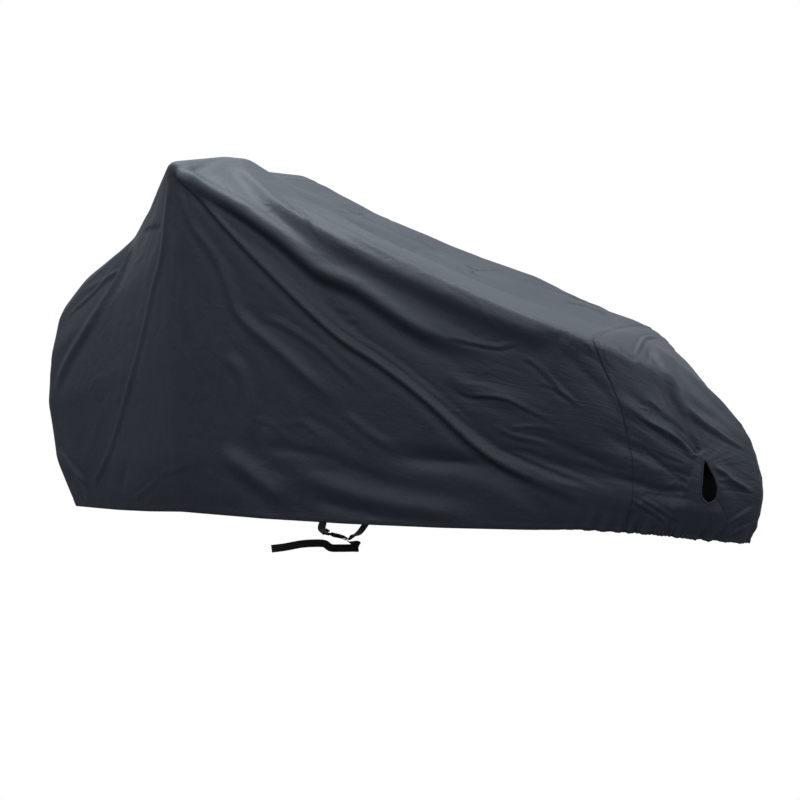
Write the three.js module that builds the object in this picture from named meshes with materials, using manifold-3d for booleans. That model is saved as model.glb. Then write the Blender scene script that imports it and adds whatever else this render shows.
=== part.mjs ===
// Fitted cover for a long two-wheeled cargo bicycle: coated cloth pulled over the handlebar, the saddle,
// the rear rack and the load box, gathered round the front wheel and held by a strap under the belly.
//
// Lengths are in millimetres, +Z is up and +X points to the bicycle's front. The tables give places from
// the point where the rear wheel stands on the ground. The exported group moves them, so that its origin
// is the spot under the cloth where the middle of the handlebar carries the cover. "Near" is the side
// with negative Y and "far" is the other one.
import * as THREE from 'three';
import { mergeVertices } from 'three/addons/utils/BufferGeometryUtils.js';
import Module from 'manifold-3d';

const CLOTH = 2.0; //            thickness of the coated cloth
const HEM_CLOTH = 3.0; //        thickness at the turned hem
const HEM_UP = 0.024; //         height of the hem, as a share of the way from hem to spine
const SEAM_AT = 0.82; //         grid line of the seam round the front panel
const SEAM_FROM = 0.64; //       the grid lines bend towards the seam from here on
const SEAM_GAP = 0.4; //         each panel's cut edge stays this far from the seam's middle line
const SOFTEN_ALONG = 0.010; //   how far the drape rounds its corners along the cover
const SOFTEN_UP = 0.020; //      and up the cloth
const FACES = 5600; //           triangles of the cloth's outside
const LOCK_CLEAR = 0.4; //       gap between the cloth and the sewn edge of the lock opening
const EDGE_CORD = 1.6; //        radius of that sewn edge
const WEBBING = { width: 25, thick: 1.6 };
const BUCKLE = { width: 34, thick: 11, socket: 34, bar: 3.2, wall: 1.8 };
const HANDLEBAR = [480, 0]; //   where the handlebar's middle carries the cover, in plan
const UNDER_CLOTH = 1295; //     and how high: 1 mm under the cloth's inside

// The drape, a row for each crosswise section from the rear hem to the front one. Its columns climb the
// near side from the hem to the spine: [x, y, z] on the cloth's outside.
const SECTIONS = [
  { at: 0, hem: [-226, 0, 84], low: [-308, 0, 250], belly: [-338, 0, 450], flank: [-330, 0, 610],
    line: [-312, 0, 720], ridge: [-302, 0, 775], spine: [-288, 0, 812] },
  { at: 0.035, hem: [-190, -80, 84], low: [-264, -98, 255], belly: [-292, -110, 455],
    flank: [-286, -96, 640], line: [-276, -68, 760], ridge: [-270, -45, 800], spine: [-266, 0, 828] },
  { at: 0.085, hem: [-80, -118, 90], low: [-150, -132, 260], belly: [-165, -146, 480],
    flank: [-160, -124, 700], line: [-142, -76, 884], ridge: [-144, -50, 912], spine: [-144, 0, 920] },
  { at: 0.16, hem: [90, -160, 97], low: [60, -178, 265], belly: [50, -186, 540],
    flank: [62, -148, 820], line: [96, -74, 1040], ridge: [98, -42, 1052], spine: [98, 0, 1054] },
  { at: 0.24, hem: [280, -212, 110], low: [270, -245, 280], belly: [265, -250, 590],
    flank: [262, -230, 890], line: [262, -180, 1126], ridge: [250, -70, 1146], spine: [250, 0, 1146] },
  { at: 0.315, hem: [455, -258, 126], low: [460, -298, 300], belly: [466, -320, 660],
    flank: [472, -330, 1000], line: [478, -338, 1246], ridge: [440, -60, 1298], spine: [436, 0, 1306] },
  { at: 0.36, hem: [560, -276, 129], low: [565, -305, 300], belly: [565, -322, 640],
    flank: [565, -328, 930], line: [575, -335, 1196], ridge: [548, -58, 1280], spine: [540, 0, 1290] },
  { at: 0.46, hem: [800, -296, 132], low: [800, -312, 300], belly: [800, -322, 560],
    flank: [800, -330, 790], line: [806, -334, 1068], ridge: [806, -196, 1134], spine: [800, 0, 1122] },
  { at: 0.58, hem: [1110, -300, 138], low: [1110, -312, 300], belly: [1110, -318, 500],
    flank: [1110, -324, 680], line: [1110, -324, 878], ridge: [1122, -272, 992], spine: [1120, 0, 972] },
  { at: 0.70, hem: [1420, -296, 148], low: [1420, -308, 290], belly: [1425, -314, 440],
    flank: [1430, -318, 570], line: [1440, -314, 712], ridge: [1450, -300, 844], spine: [1440, 0, 846] },
  { at: 0.80, hem: [1680, -270, 158], low: [1705, -294, 290], belly: [1720, -302, 410],
    flank: [1735, -306, 510], line: [1755, -304, 612], ridge: [1788, -302, 702], spine: [1796, 0, 714] },
  { at: 0.84, hem: [1800, -235, 163], low: [1835, -255, 280], belly: [1850, -264, 390],
    flank: [1858, -266, 490], line: [1862, -266, 590], ridge: [1860, -262, 670], spine: [1858, 0, 704] },
  { at: 0.90, hem: [1960, -175, 156], low: [2000, -190, 250], belly: [2014, -192, 340],
    flank: [2014, -184, 420], line: [2004, -170, 502], ridge: [1994, -124, 594], spine: [1994, 0, 636] },
  { at: 0.955, hem: [2104, -115, 141], low: [2150, -125, 215], belly: [2160, -122, 285],
    flank: [2154, -112, 345], line: [2142, -96, 413], ridge: [2130, -60, 476], spine: [2130, 0, 516] },
  { at: 1, hem: [2222, 0, 124], low: [2246, 0, 200], belly: [2254, 0, 250], flank: [2250, 0, 300],
    line: [2236, 0, 355], ridge: [2216, 0, 400], spine: [2190, 0, 444] },
];
const COLUMNS = { hem: 0, low: 0.13, belly: 0.32, flank: 0.50, line: 0.70, ridge: 0.84, spine: 1 };

// Where the far side isn't the near side's mirror image: the handlebar is turned a little, and the two
// ridges along the box lie evenly there.
const FAR_CHANGES = [
  { at: 0.315, line: [540, 338, 1280], ridge: [446, 110, 1280] },
  { at: 0.36, line: [650, 332, 1232], ridge: [556, 120, 1240] },
  { at: 0.46, line: [850, 326, 1124], ridge: [822, 200, 1118] },
  { at: 0.58, line: [1150, 320, 999], ridge: [1140, 200, 974] },
  { at: 0.70, line: [1460, 314, 884], ridge: [1455, 200, 864] },
  { at: 0.80, line: [1800, 304, 724], ridge: [1806, 262, 738] },
  { at: 0.84, line: [1870, 280, 646], ridge: [1872, 260, 706] },
  { at: 0.90, line: [2016, 188, 508], ridge: [2008, 130, 606] },
];

// The folds, a row each. width and rise: half width and height at the fold's two ends, a hollow having
// less than no rise. below and above: the troughs beside it, as shares of the rise. fade: the share of
// its length over which each end dies away. path: [x, y, z] along its crest.
const FOLDS = [
  { name: 'main rope fold', width: [16, 26], rise: [14, 26], below: 0.7, above: 0.35,
    fade: [0.03, 0.22], path: [[500, -335, 1220], [660, -335, 1070], [835, -330, 915], [1085, -325, 710],
      [1240, -320, 620], [1395, -315, 515], [1580, -305, 365], [1770, -270, 280], [1870, -230, 225]] },
  { name: 'rope fold, second crest', width: [12, 18], rise: [6, 9], below: 0.2, above: 0.3,
    fade: [0.1, 0.2], path: [[535, -335, 1200], [710, -335, 1070], [895, -330, 915], [1125, -325, 735],
      [1290, -320, 625], [1430, -315, 525], [1580, -305, 405]] },
  { name: 'soft fold from the grip', width: [20, 34], rise: [8, 16], below: 0.5, above: 0.5,
    fade: [0.06, 0.2], path: [[515, -335, 1215], [710, -330, 1115], [900, -325, 1010],
      [1040, -325, 910], [1170, -320, 855], [1380, -315, 730], [1600, -310, 655]] },
  { name: 'shoulder ridge', width: [14, 18], rise: [10, 12], below: 0.7, above: 0.2,
    fade: [0.1, 0.06], path: [[560, -90, 1270], [815, -215, 1125], [1030, -255, 1025],
      [1215, -285, 940], [1385, -295, 865], [1545, -300, 790], [1695, -300, 725], [1780, -300, 694]] },
  { name: 'fold behind the rope', width: [12, 34], rise: [8, 14], below: 0.5, above: 0.2,
    fade: [0.1, 0.25], path: [[520, -335, 1165], [570, -330, 1035], [675, -330, 910],
      [750, -330, 755], [895, -325, 645], [1035, -320, 535], [1135, -315, 450]] },
  { name: 'rear fold', width: [14, 14], rise: [10, 12], below: 0.3, above: 0.5,
    fade: [0.06, 0.06], path: [[480, -330, 1190], [445, -315, 1055], [415, -305, 945],
      [350, -275, 830], [290, -255, 690], [215, -235, 540], [140, -210, 400], [60, -180, 280],
      [-50, -136, 165]] },
  { name: 'saddle ridge', width: [16, 22], rise: [10, 12], below: 0.4, above: 0.4,
    fade: [0.05, 0.2], path: [[120, -100, 1010], [75, -115, 925], [20, -125, 840], [-65, -135, 730],
      [-170, -130, 610], [-250, -120, 485]] },
  { name: 'rear wheel fold', width: [16, 12], rise: [9, 9], below: 0.4, above: 0.4,
    fade: [0.2, 0.2], path: [[-245, -105, 295], [-150, -125, 220], [-65, -135, 165]] },
  { name: 'grip drop', width: [18, 24], rise: [7, 6], below: 0.3, above: 0.3,
    fade: [0.2, 0.3], path: [[490, -330, 1040], [510, -325, 840], [550, -325, 660]] },
  { name: 'pedal bulge', width: [20, 26], rise: [9, 7], below: 0.4, above: 0.4,
    fade: [0.25, 0.4], path: [[670, -325, 640], [745, -322, 585], [775, -320, 480], [780, -315, 350]] },
  { name: 'pedal fold', width: [16, 20], rise: [10, 8], below: 0.5, above: 0.3,
    fade: [0.3, 0.3], path: [[660, -310, 345], [770, -310, 275], [925, -305, 185]] },
  { name: 'belly fold', width: [22, 24], rise: [14, 10], below: 0.3, above: 0.7,
    fade: [0.25, 0.3], path: [[940, -310, 285], [1165, -305, 230], [1360, -300, 202], [1580, -290, 185]] },
  { name: 'hollow under the rope', width: [26, 26], rise: [-14, -12], below: 0, above: 0,
    fade: [0.3, 0.3], path: [[1220, -310, 355], [1550, -305, 320], [1765, -255, 200]] },
  { name: 'box fold', width: [16, 22], rise: [7, 6], below: 0.5, above: 0.3,
    fade: [0.35, 0.35], path: [[1420, -315, 600], [1520, -312, 545], [1610, -310, 525], [1740, -305, 475]] },
  { name: 'top hollow', width: [34, 30], rise: [-10, -8], below: 0, above: 0,
    fade: [0.2, 0.3], path: [[820, 30, 1115], [1145, 60, 968], [1505, -25, 825], [1700, -70, 750]] },
  { name: 'lock hollow, upper', width: [10, 18], rise: [-8, -7], below: -0.5, above: -0.5,
    fade: [0.05, 0.3], path: [[2108, -134, 372], [2090, -138, 420], [2055, -138, 490],
      [2020, -142, 535], [1970, -165, 595]] },
  { name: 'lock fold, high rear', width: [10, 22], rise: [9, 8], below: 0.6, above: 0.3,
    fade: [0.05, 0.3], path: [[2100, -140, 362], [2060, -160, 415], [1975, -200, 470], [1880, -250, 555]] },
  { name: 'lock hollow, low rear', width: [14, 22], rise: [-12, -10], below: -0.4, above: -0.4,
    fade: [0.05, 0.3], path: [[2090, -150, 275], [2020, -185, 275], [1970, -205, 290],
      [1825, -265, 330], [1640, -302, 380]] },
  { name: 'lock hollow, rear', width: [10, 20], rise: [-9, -8], below: -0.4, above: -0.4,
    fade: [0.05, 0.3], path: [[2096, -150, 312], [2020, -190, 345], [1955, -215, 385], [1860, -260, 445]] },
  { name: 'lock fold, front', width: [12, 16], rise: [7, 6], below: 0.4, above: 0.4,
    fade: [0.2, 0.3], path: [[2150, -118, 350], [2185, -90, 306], [2232, -35, 262]] },
  { name: 'box corner fold', width: [14, 18], rise: [9, 8], below: 0.4, above: 0.4,
    fade: [0.2, 0.3], path: [[1930, -10, 672], [2000, -85, 610], [2055, -120, 510], [2125, -92, 450],
      [2195, -35, 400]] },
  { name: 'far rope fold', width: [16, 26], rise: [13, 20], below: 0.6, above: 0.4,
    fade: [0.04, 0.25], path: [[575, 336, 1240], [730, 334, 1060], [930, 330, 870], [1180, 324, 660],
      [1440, 314, 470], [1690, 290, 300]] },
  { name: 'far soft fold', width: [20, 32], rise: [8, 14], below: 0.5, above: 0.5,
    fade: [0.08, 0.25], path: [[620, 334, 1205], [830, 330, 1045], [1090, 324, 880], [1400, 316, 700]] },
  { name: 'far drop', width: [16, 30], rise: [9, 10], below: 0.4, above: 0.3,
    fade: [0.1, 0.3], path: [[545, 335, 1190], [590, 330, 980], [690, 326, 760], [830, 320, 540]] },
  { name: 'far rear fold', width: [14, 18], rise: [10, 11], below: 0.4, above: 0.4,
    fade: [0.08, 0.15], path: [[495, 330, 1180], [420, 300, 930], [310, 262, 680], [170, 222, 420],
      [20, 168, 210]] },
  { name: 'far saddle ridge', width: [16, 22], rise: [9, 11], below: 0.4, above: 0.4,
    fade: [0.08, 0.25], path: [[110, 100, 1000], [20, 125, 850], [-110, 135, 680], [-235, 122, 500]] },
  { name: 'far belly fold', width: [22, 26], rise: [12, 9], below: 0.4, above: 0.6,
    fade: [0.3, 0.3], path: [[820, 312, 330], [1120, 306, 262], [1420, 298, 240]] },
  { name: 'far box fold', width: [18, 24], rise: [8, 7], below: 0.4, above: 0.4,
    fade: [0.3, 0.3], path: [[1330, 316, 640], [1520, 310, 560], [1700, 304, 520]] },
  { name: 'far lock hollow, upper', width: [11, 18], rise: [-8, -7], below: -0.5, above: -0.5,
    fade: [0.05, 0.3], path: [[2104, 136, 372], [2062, 148, 470], [1985, 175, 575]] },
  { name: 'far lock fold, rear', width: [12, 22], rise: [9, 8], below: 0.5, above: 0.4,
    fade: [0.05, 0.3], path: [[2092, 146, 350], [1990, 196, 420], [1850, 262, 500]] },
  { name: 'far lock hollow', width: [14, 22], rise: [-11, -9], below: -0.4, above: -0.4,
    fade: [0.05, 0.3], path: [[2090, 150, 280], [1970, 206, 300], [1760, 290, 360]] },
];
// The seam round the front panel, a row for each place up the cloth: its share along the near and the
// far side. It crosses the box's top and runs down both front corners of the box.
const SEAM = [
  { up: 0, near: 0.888, far: 0.884 },
  { up: 0.32, near: 0.880, far: 0.874 },
  { up: 0.571, near: 0.868, far: 0.860 },
  { up: 0.691, near: 0.859, far: 0.850 },
  { up: 0.768, near: 0.849, far: 0.840 },
  { up: 0.836, near: 0.842, far: 0.822 },
  { up: 0.878, near: 0.831, far: 0.812 },
  { up: 0.94, near: 0.823, far: 0.812 },
  { up: 1, near: 0.816, far: 0.816 },
];
const FOLD_STEPS = 3; // straight steps along a fold's crest between two places of its path

// Elastic gathers along the front hem, a row for each side: share along the cover where they start and
// are full, number of ripples to the front, their rise and how far up the cloth they reach.
const GATHERS = [
  { side: 1, start: 0.79, full: 0.85, ripples: 15, rise: 5, up: 0.14 },
  { side: -1, start: 0.80, full: 0.86, ripples: 14, rise: 5, up: 0.13 },
];

// The lock opening in the front panel, the same on both sides: its outline runs down from the top.
// down: share of its height, rear and front: shares along the cover from its middle line.
const LOCK = { at: 0.9445, top: 0.491, bottom: 0.195 };
const LOCK_OUTLINE = [
  { down: 0, rear: 0.0025, front: -0.0025 },
  { down: 0.12, rear: 0.0042, front: 0.0012 },
  { down: 0.32, rear: 0.0050, front: 0.0055 },
  { down: 0.55, rear: 0.0056, front: 0.0084 },
  { down: 0.78, rear: 0.0052, front: 0.0088 },
  { down: 0.92, rear: 0.0030, front: 0.0070 },
  { down: 1, rear: -0.0020, front: 0.0020 },
];

// The belly strap's webbing, a row for each bend: the place of its middle line and the direction across
// its width there.
const NEAR_STRAP = [
  { at: [1022, -292, 178], across: [1, 0, 0] },
  { at: [1021, -291, 140], across: [1, 0, 0] },
  { at: [1012, -286, 118], across: [1, 0.1, 0] },
  { at: [980, -220, 92], across: [0.95, 0.3, 0] },
  { at: [944, -150, 81], across: [0.8, -0.6, 0] },
];
const FAR_STRAP = [
  { at: [868, 291, 190], across: [1, 0, 0] },
  { at: [869, 290, 152], across: [1, 0, 0] },
  { at: [876, 276, 124], across: [1, 0, 0] },
  { at: [912, 150, 78], across: [0.98, 0.2, 0] },
  { at: [955, 20, 56], across: [0.95, 0.3, 0] },
  { at: [983, -60, 60], across: [0.85, -0.5, 0] },
];

// The free end beyond the buckle: it drops to the ground and ends on its edge there.
const TAIL = [
  { at: [993, -56, 36], across: [0.7, -0.5, 0.5] },
  { at: [984, -30, 19], across: [0.3, -0.2, 0.9] },
  { at: [950, -16, 13.2], across: [0, 0, 1] },
  { at: [920, -36, 13.2], across: [0, 0, 1] },
  { at: [899, -62, 17], across: [0, 0, 1] },
  { at: [884, -71, 29], across: [0.1, 0, 1] },
  { at: [850, -90, 31], across: [0, 0, 1] },
  { at: [816, -109, 28], across: [0, 0, 1] },
  { at: [774, -133, 19], across: [0, 0, 1] },
  { at: [735, -155, 13.2], across: [0, 0, 1] },
];
// The buckle lies between these two places, its plug at the first one.
const BUCKLE_FROM = [931, -131, 74];
const BUCKLE_TO = [973, -84, 58];
// Round the plug's bar and through the socket's two bars, as [along the buckle, above its middle].
const ROUND_PLUG = [[-24, 4.2], [-15, 3.6], [-11.6, 3.2], [-10.8, 0], [-11.6, -3.2], [-15, -3.6],
  [-34, -2.6]];
const THROUGH_SOCKET = [[58, -4], [49, -3.7], [44.4, -3], [43, 0], [41.4, 3.5], [37.2, 3.5],
  [35.5, 0], [36.6, -5.4], [40, -6.6], [50, -7], [58, -10]];

const vec = (p) => new THREE.Vector3(...p);
const smooth = (x) => {
  const c = Math.min(1, Math.max(0, x));
  return c * c * (3 - 2 * c);
};
const bell = (x) => Math.exp(-x * x);

// ---- the drape ----

const NAMES = Object.keys(COLUMNS);
const UPS = Object.values(COLUMNS);
const PLACES = SECTIONS.map((row) => row.at);
const nearNet = SECTIONS.map((row) => NAMES.map((name) => row[name]));
const farNet = SECTIONS.map((row) => {
  const change = FAR_CHANGES.find((other) => other.at === row.at) ?? {};
  return NAMES.map((name) => change[name] ?? [row[name][0], -row[name][1], row[name][2]]);
});

// The span of a rising list that holds a value, and how far along it the value lies.
function spanOf(list, value) {
  let i = 0;
  while (i < list.length - 2 && value >= list[i + 1]) i += 1;
  return [i, (value - list[i]) / (list[i + 1] - list[i])];
}

// A place on the taut, unrounded drape. Past a centre line the other side carries on.
function tautPlace(side, s, t) {
  let onSide = side;
  if (s < 0 || s > 1) onSide = -onSide;
  if (t > 1) onSide = -onSide;
  const along = s < 0 ? -s : s > 1 ? 2 - s : s;
  const up = t > 1 ? 2 - t : Math.max(0, t);
  const net = onSide > 0 ? nearNet : farNet;
  const [i, u] = spanOf(PLACES, along);
  const [j, v] = spanOf(UPS, up);
  return [0, 1, 2].map((k) => (net[i][j][k] * (1 - u) + net[i + 1][j][k] * u) * (1 - v)
    + (net[i][j + 1][k] * (1 - u) + net[i + 1][j + 1][k] * u) * v);
}

// The drape with its corners rounded: the mean of the taut places around one.
const SPREAD = [-1, -0.5, 0, 0.5, 1];
const SHARE = [0.1, 0.25, 0.3, 0.25, 0.1];
function drape(side, s, t) {
  const up = Math.min(SOFTEN_UP, t);
  const sum = [0, 0, 0];
  SPREAD.forEach((a, i) => SPREAD.forEach((b, j) => {
    const p = tautPlace(side, s + a * SOFTEN_ALONG, t + b * up);
    for (let k = 0; k < 3; k += 1) sum[k] += p[k] * SHARE[i] * SHARE[j];
  }));
  return vec(sum);
}

const NUDGE = 0.004;
function drapeNormal(side, s, t) {
  const along = drape(side, s + NUDGE, t).sub(drape(side, s - NUDGE, t));
  const up = drape(side, s, t + NUDGE).sub(drape(side, s, Math.max(0, t - NUDGE)));
  return along.cross(up).multiplyScalar(side).normalize();
}

// ---- the folds ----

const crests = FOLDS.map((fold) => {
  const curve = new THREE.CatmullRomCurve3(fold.path.map(vec), false, 'centripetal');
  const points = curve.getPoints((fold.path.length - 1) * FOLD_STEPS);
  const reach = Math.max(...fold.width) * 5;
  const runs = [0];
  for (let i = 1; i < points.length; i += 1) runs.push(runs[i - 1] + points[i].distanceTo(points[i - 1]));
  return { ...fold, points, runs, box: new THREE.Box3().setFromPoints(points).expandByScalar(reach) };
});

// How far one fold lifts the cloth at a place of the drape.
function foldLift(fold, p, n) {
  if (!fold.box.containsPoint(p)) return 0;
  let best = Infinity;
  let run = 0;
  let offset = 0;
  const step = new THREE.Vector3();
  const away = new THREE.Vector3();
  const across = new THREE.Vector3();
  for (let i = 0; i < fold.points.length - 1; i += 1) {
    step.subVectors(fold.points[i + 1], fold.points[i]);
    away.subVectors(p, fold.points[i]);
    const share = Math.min(1, Math.max(0, away.dot(step) / step.lengthSq()));
    away.addScaledVector(step, -share);
    if (away.lengthSq() < best) {
      best = away.lengthSq();
      run = fold.runs[i] + share * step.length();
      offset = Math.sqrt(best) * Math.sign(across.crossVectors(step, n).dot(away));
    }
  }
  const q = run / fold.runs[fold.runs.length - 1];
  const width = fold.width[0] + (fold.width[1] - fold.width[0]) * q;
  const rise = fold.rise[0] + (fold.rise[1] - fold.rise[0]) * q;
  const fade = smooth(q / fold.fade[0]) * smooth((1 - q) / fold.fade[1]);
  return rise * fade * (bell(offset / width) - fold.below * bell((offset - 1.7 * width) / width)
    - fold.above * bell((offset + 1.7 * width) / width));
}

// The ripples of the elastic hem.
function gatherLift(side, s, t) {
  const row = GATHERS.find((one) => one.side === (side || 1));
  if (s < row.start || t > row.up) return 0;
  const u = (s - row.start) / (1 - row.start);
  const wave = Math.sin(2 * Math.PI * row.ripples * u + 0.9 * Math.sin(4.6 * Math.PI * u));
  return row.rise * wave * smooth((s - row.start) / (row.full - row.start)) * (1 - t / row.up) ** 1.5;
}

// A place on the cloth's outside.
const HEM_FADE = 0.02;
const HEM_KEEPS = 0.4;
function cloth(side, s, t) {
  const on = side || 1;
  const p = drape(on, s, t);
  const n = drapeNormal(on, s, t);
  let lift = 0;
  for (const fold of crests) lift += foldLift(fold, p, n);
  lift *= HEM_KEEPS + (1 - HEM_KEEPS) * smooth(t / HEM_FADE);
  return p.addScaledVector(n, lift + gatherLift(on, s, t));
}

// ---- the cloth's faces ----

// The share along the cover of a grid line, bent so that one line is the seam.
const SEAM_UPS = SEAM.map((row) => row.up);
function bent(side, line, t) {
  const [i, u] = spanOf(SEAM_UPS, Math.min(1, t));
  const key = side > 0 ? 'near' : 'far';
  const seam = SEAM[i][key] + (SEAM[i + 1][key] - SEAM[i][key]) * u;
  if (line <= SEAM_FROM) return line;
  if (line <= SEAM_AT) return SEAM_FROM + ((line - SEAM_FROM) * (seam - SEAM_FROM)) / (SEAM_AT - SEAM_FROM);
  return seam + ((line - SEAM_AT) * (1 - seam)) / (1 - SEAM_AT);
}
const onGrid = (side, line, t) => cloth(side || 1, bent(side || 1, line, t), t);

// Lines of the first grid: along the cover and up the cloth.
const ALONG = [0, 0.017, 0.035, 0.06, 0.085, 0.11, 0.135, 0.16, 0.19, 0.215, 0.24, 0.265, 0.29, 0.315,
  0.337, 0.36, 0.385, 0.41, 0.435, 0.46, 0.49, 0.52, 0.55, 0.58, 0.61, 0.64, 0.67, 0.70, 0.725, 0.75,
  0.775, 0.80, SEAM_AT, 0.845, 0.87, 0.895, 0.92, 0.94, 0.96, 0.98, 1];
const CLIMB = [0, HEM_UP, 0.08, 0.16, 0.25, 0.34, 0.43, 0.52, 0.61, 0.70, 0.77, 0.84, 0.92, 1];

const points = []; //  { side, s, t, p }, side 0 on the centre lines that both sides share
const faces = []; //   { corners, side }

function addPoint(side, s, t) {
  const onCentre = s === 0 || s === 1 || t === 1;
  points.push({ side: onCentre ? 0 : side, s, t, p: onGrid(side, s, t) });
  return points.length - 1;
}

function firstGrid() {
  const centre = new Map();
  for (const side of [1, -1]) {
    const grid = ALONG.map((s) => CLIMB.map((t) => {
      const key = `${s} ${t}`;
      if (centre.has(key)) return centre.get(key);
      const index = addPoint(side, s, t);
      if (points[index].side === 0) centre.set(key, index);
      return index;
    }));
    for (let i = 0; i < ALONG.length - 1; i += 1) {
      for (let j = 0; j < CLIMB.length - 1; j += 1) {
        const [a, b, c, d] = [grid[i][j], grid[i + 1][j], grid[i + 1][j + 1], grid[i][j + 1]];
        const halves = (i + j) % 2 ? [[a, b, c], [a, c, d]] : [[a, b, d], [b, c, d]];
        for (const half of halves) faces.push({ corners: side > 0 ? half : half.reverse(), side });
      }
    }
  }
}

// How far a straight edge between two points misses the cloth.
const SAMPLES = [0.25, 0.5, 0.75];
const missed = new Map();
const edgeKey = (a, b) => (a < b ? a * 65536 + b : b * 65536 + a);
function edgeMiss(a, b, side) {
  const key = edgeKey(a, b);
  if (!missed.has(key)) {
    const [from, to] = [points[a], points[b]];
    const line = new THREE.Line3(from.p, to.p);
    const onLine = new THREE.Vector3();
    missed.set(key, Math.max(...SAMPLES.map((f) => {
      const p = onGrid(side, from.s + (to.s - from.s) * f, from.t + (to.t - from.t) * f);
      return line.closestPointToPoint(p, false, onLine).distanceTo(p);
    })));
  }
  return missed.get(key);
}

function edgesOf(list) {
  const edges = new Map();
  list.forEach((face, index) => face.corners.forEach((a, i) => {
    const b = face.corners[(i + 1) % 3];
    const key = edgeKey(a, b);
    if (!edges.has(key)) edges.set(key, { a, b, faces: [], side: face.side });
    edges.get(key).faces.push(index);
  }));
  return [...edges.values()];
}

const lengthOf = (a, b) => points[a].p.distanceTo(points[b].p);
const longestOf = ([a, b, c]) => Math.max(lengthOf(a, b), lengthOf(b, c), lengthOf(c, a));

// Halve the edges that miss the cloth most, leaving no edge much shorter than its face's longest.
const LEAST_SHARE = 0.3;
const ROUND_SHARE = 0.12;
function refineOnce() {
  const edges = edgesOf(faces).map((edge) => ({ ...edge, miss: edgeMiss(edge.a, edge.b, edge.side) }));
  edges.sort((one, other) => other.miss - one.miss);
  const touched = new Set();
  let left = Math.min((FACES - faces.length) / 2, Math.max(60, faces.length * ROUND_SHARE));
  for (const { a, b, faces: pair, side } of edges) {
    if (left <= 0) break;
    const longest = Math.max(...pair.map((index) => longestOf(faces[index].corners)));
    if (pair.some((index) => touched.has(index)) || lengthOf(a, b) < LEAST_SHARE * longest) continue;
    const same = points[a].side === 0 && points[b].side === 0 && pair.length === 2
      && faces[pair[0]].side !== faces[pair[1]].side;
    const [s, t] = [(points[a].s + points[b].s) / 2, (points[a].t + points[b].t) / 2];
    points.push({ side: same ? 0 : side, s, t, p: onGrid(side, s, t) });
    for (const index of pair) {
      touched.add(index);
      const corners = faces[index].corners;
      const swap = (gone) => corners.map((corner) => (corner === gone ? points.length - 1 : corner));
      faces.push({ corners: swap(a), side: faces[index].side });
      faces[index] = { corners: swap(b), side: faces[index].side };
      touched.add(faces.length - 1);
    }
    left -= 1;
  }
}

// Turn the diagonals of face pairs that lie closer to the cloth the other way.
const FLAT = { along: 2600, up: 1300 }; // rough size of the cloth's side, for angles on it
const BETTER = 0.85;
const THIN = 0.06;
const areaOf = (a, b, c) => ((b.s - a.s) * (c.t - a.t) - (c.s - a.s) * (b.t - a.t)) * FLAT.along * FLAT.up;
function turnOnce() {
  const touched = new Set();
  for (const { a, b, faces: pair, side } of edgesOf(faces)) {
    if (pair.length < 2 || pair.some((index) => touched.has(index))) continue;
    const [one, other] = pair.map((index) => faces[index]);
    const onLine = (line, key) => points[a][key] === line && points[b][key] === line;
    if (one.side !== other.side || onLine(SEAM_AT, 's') || onLine(HEM_UP, 't')) continue;
    const c = one.corners.find((corner) => corner !== a && corner !== b);
    const d = other.corners.find((corner) => corner !== a && corner !== b);
    const sizes = [areaOf(points[c], points[d], points[a]), areaOf(points[c], points[d], points[b])];
    const least = THIN * lengthOf(c, d) ** 2;
    if (sizes[0] * sizes[1] >= 0 || Math.min(...sizes.map(Math.abs)) < least) continue;
    if (edgeMiss(c, d, side) > BETTER * edgeMiss(a, b, side)) continue;
    const turn = (corners, gone, come) => corners.map((corner) => (corner === gone ? come : corner));
    faces[pair[0]] = { corners: turn(one.corners, b, d), side };
    faces[pair[1]] = { corners: turn(other.corners, a, c), side };
    touched.add(pair[0]);
    touched.add(pair[1]);
  }
}

firstGrid();
while (faces.length < FACES - 1) {
  refineOnce();
  turnOnce();
}
for (let i = 0; i < 3; i += 1) turnOnce();

// ---- solids ----

// A closed sheet from outside faces: its inside lies one thickness below and its cut edges are closed.
// A cut edge at the seam is drawn back from the seam's middle line.
function sheet(part, away) {
  const used = new Map();
  const normals = new Map();
  for (const { corners } of part) {
    const [a, b, c] = corners.map((corner) => points[corner].p);
    const n = b.clone().sub(a).cross(c.clone().sub(a));
    for (const corner of corners) {
      if (!used.has(corner)) used.set(corner, used.size);
      if (!normals.has(corner)) normals.set(corner, new THREE.Vector3());
      normals.get(corner).add(n);
    }
  }
  const outside = [];
  const inside = [];
  for (const corner of used.keys()) {
    const { side, s, t, p } = points[corner];
    const top = p.clone();
    if (s === SEAM_AT) {
      const along = onGrid(side, s + NUDGE, t).sub(onGrid(side, s - NUDGE, t)).normalize();
      top.addScaledVector(along, away * SEAM_GAP);
    }
    const thick = t === 0 ? HEM_CLOTH : CLOTH;
    outside.push(top);
    inside.push(top.clone().addScaledVector(normals.get(corner).normalize(), -thick));
  }
  const count = used.size;
  const triangles = [];
  for (const edge of edgesOf(part)) {
    if (edge.faces.length > 1) continue;
    const corners = part[edge.faces[0]].corners;
    const along = corners[(corners.indexOf(edge.a) + 1) % 3] === edge.b;
    const [a, b] = along ? [edge.a, edge.b] : [edge.b, edge.a];
    const [i, j] = [used.get(a), used.get(b)];
    triangles.push([j, i, i + count], [j, i + count, j + count]);
  }
  for (const { corners } of part) {
    const [i, j, k] = corners.map((corner) => used.get(corner));
    triangles.push([i, j, k], [k + count, j + count, i + count]);
  }
  return geometryOf([...outside, ...inside], triangles);
}

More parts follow.
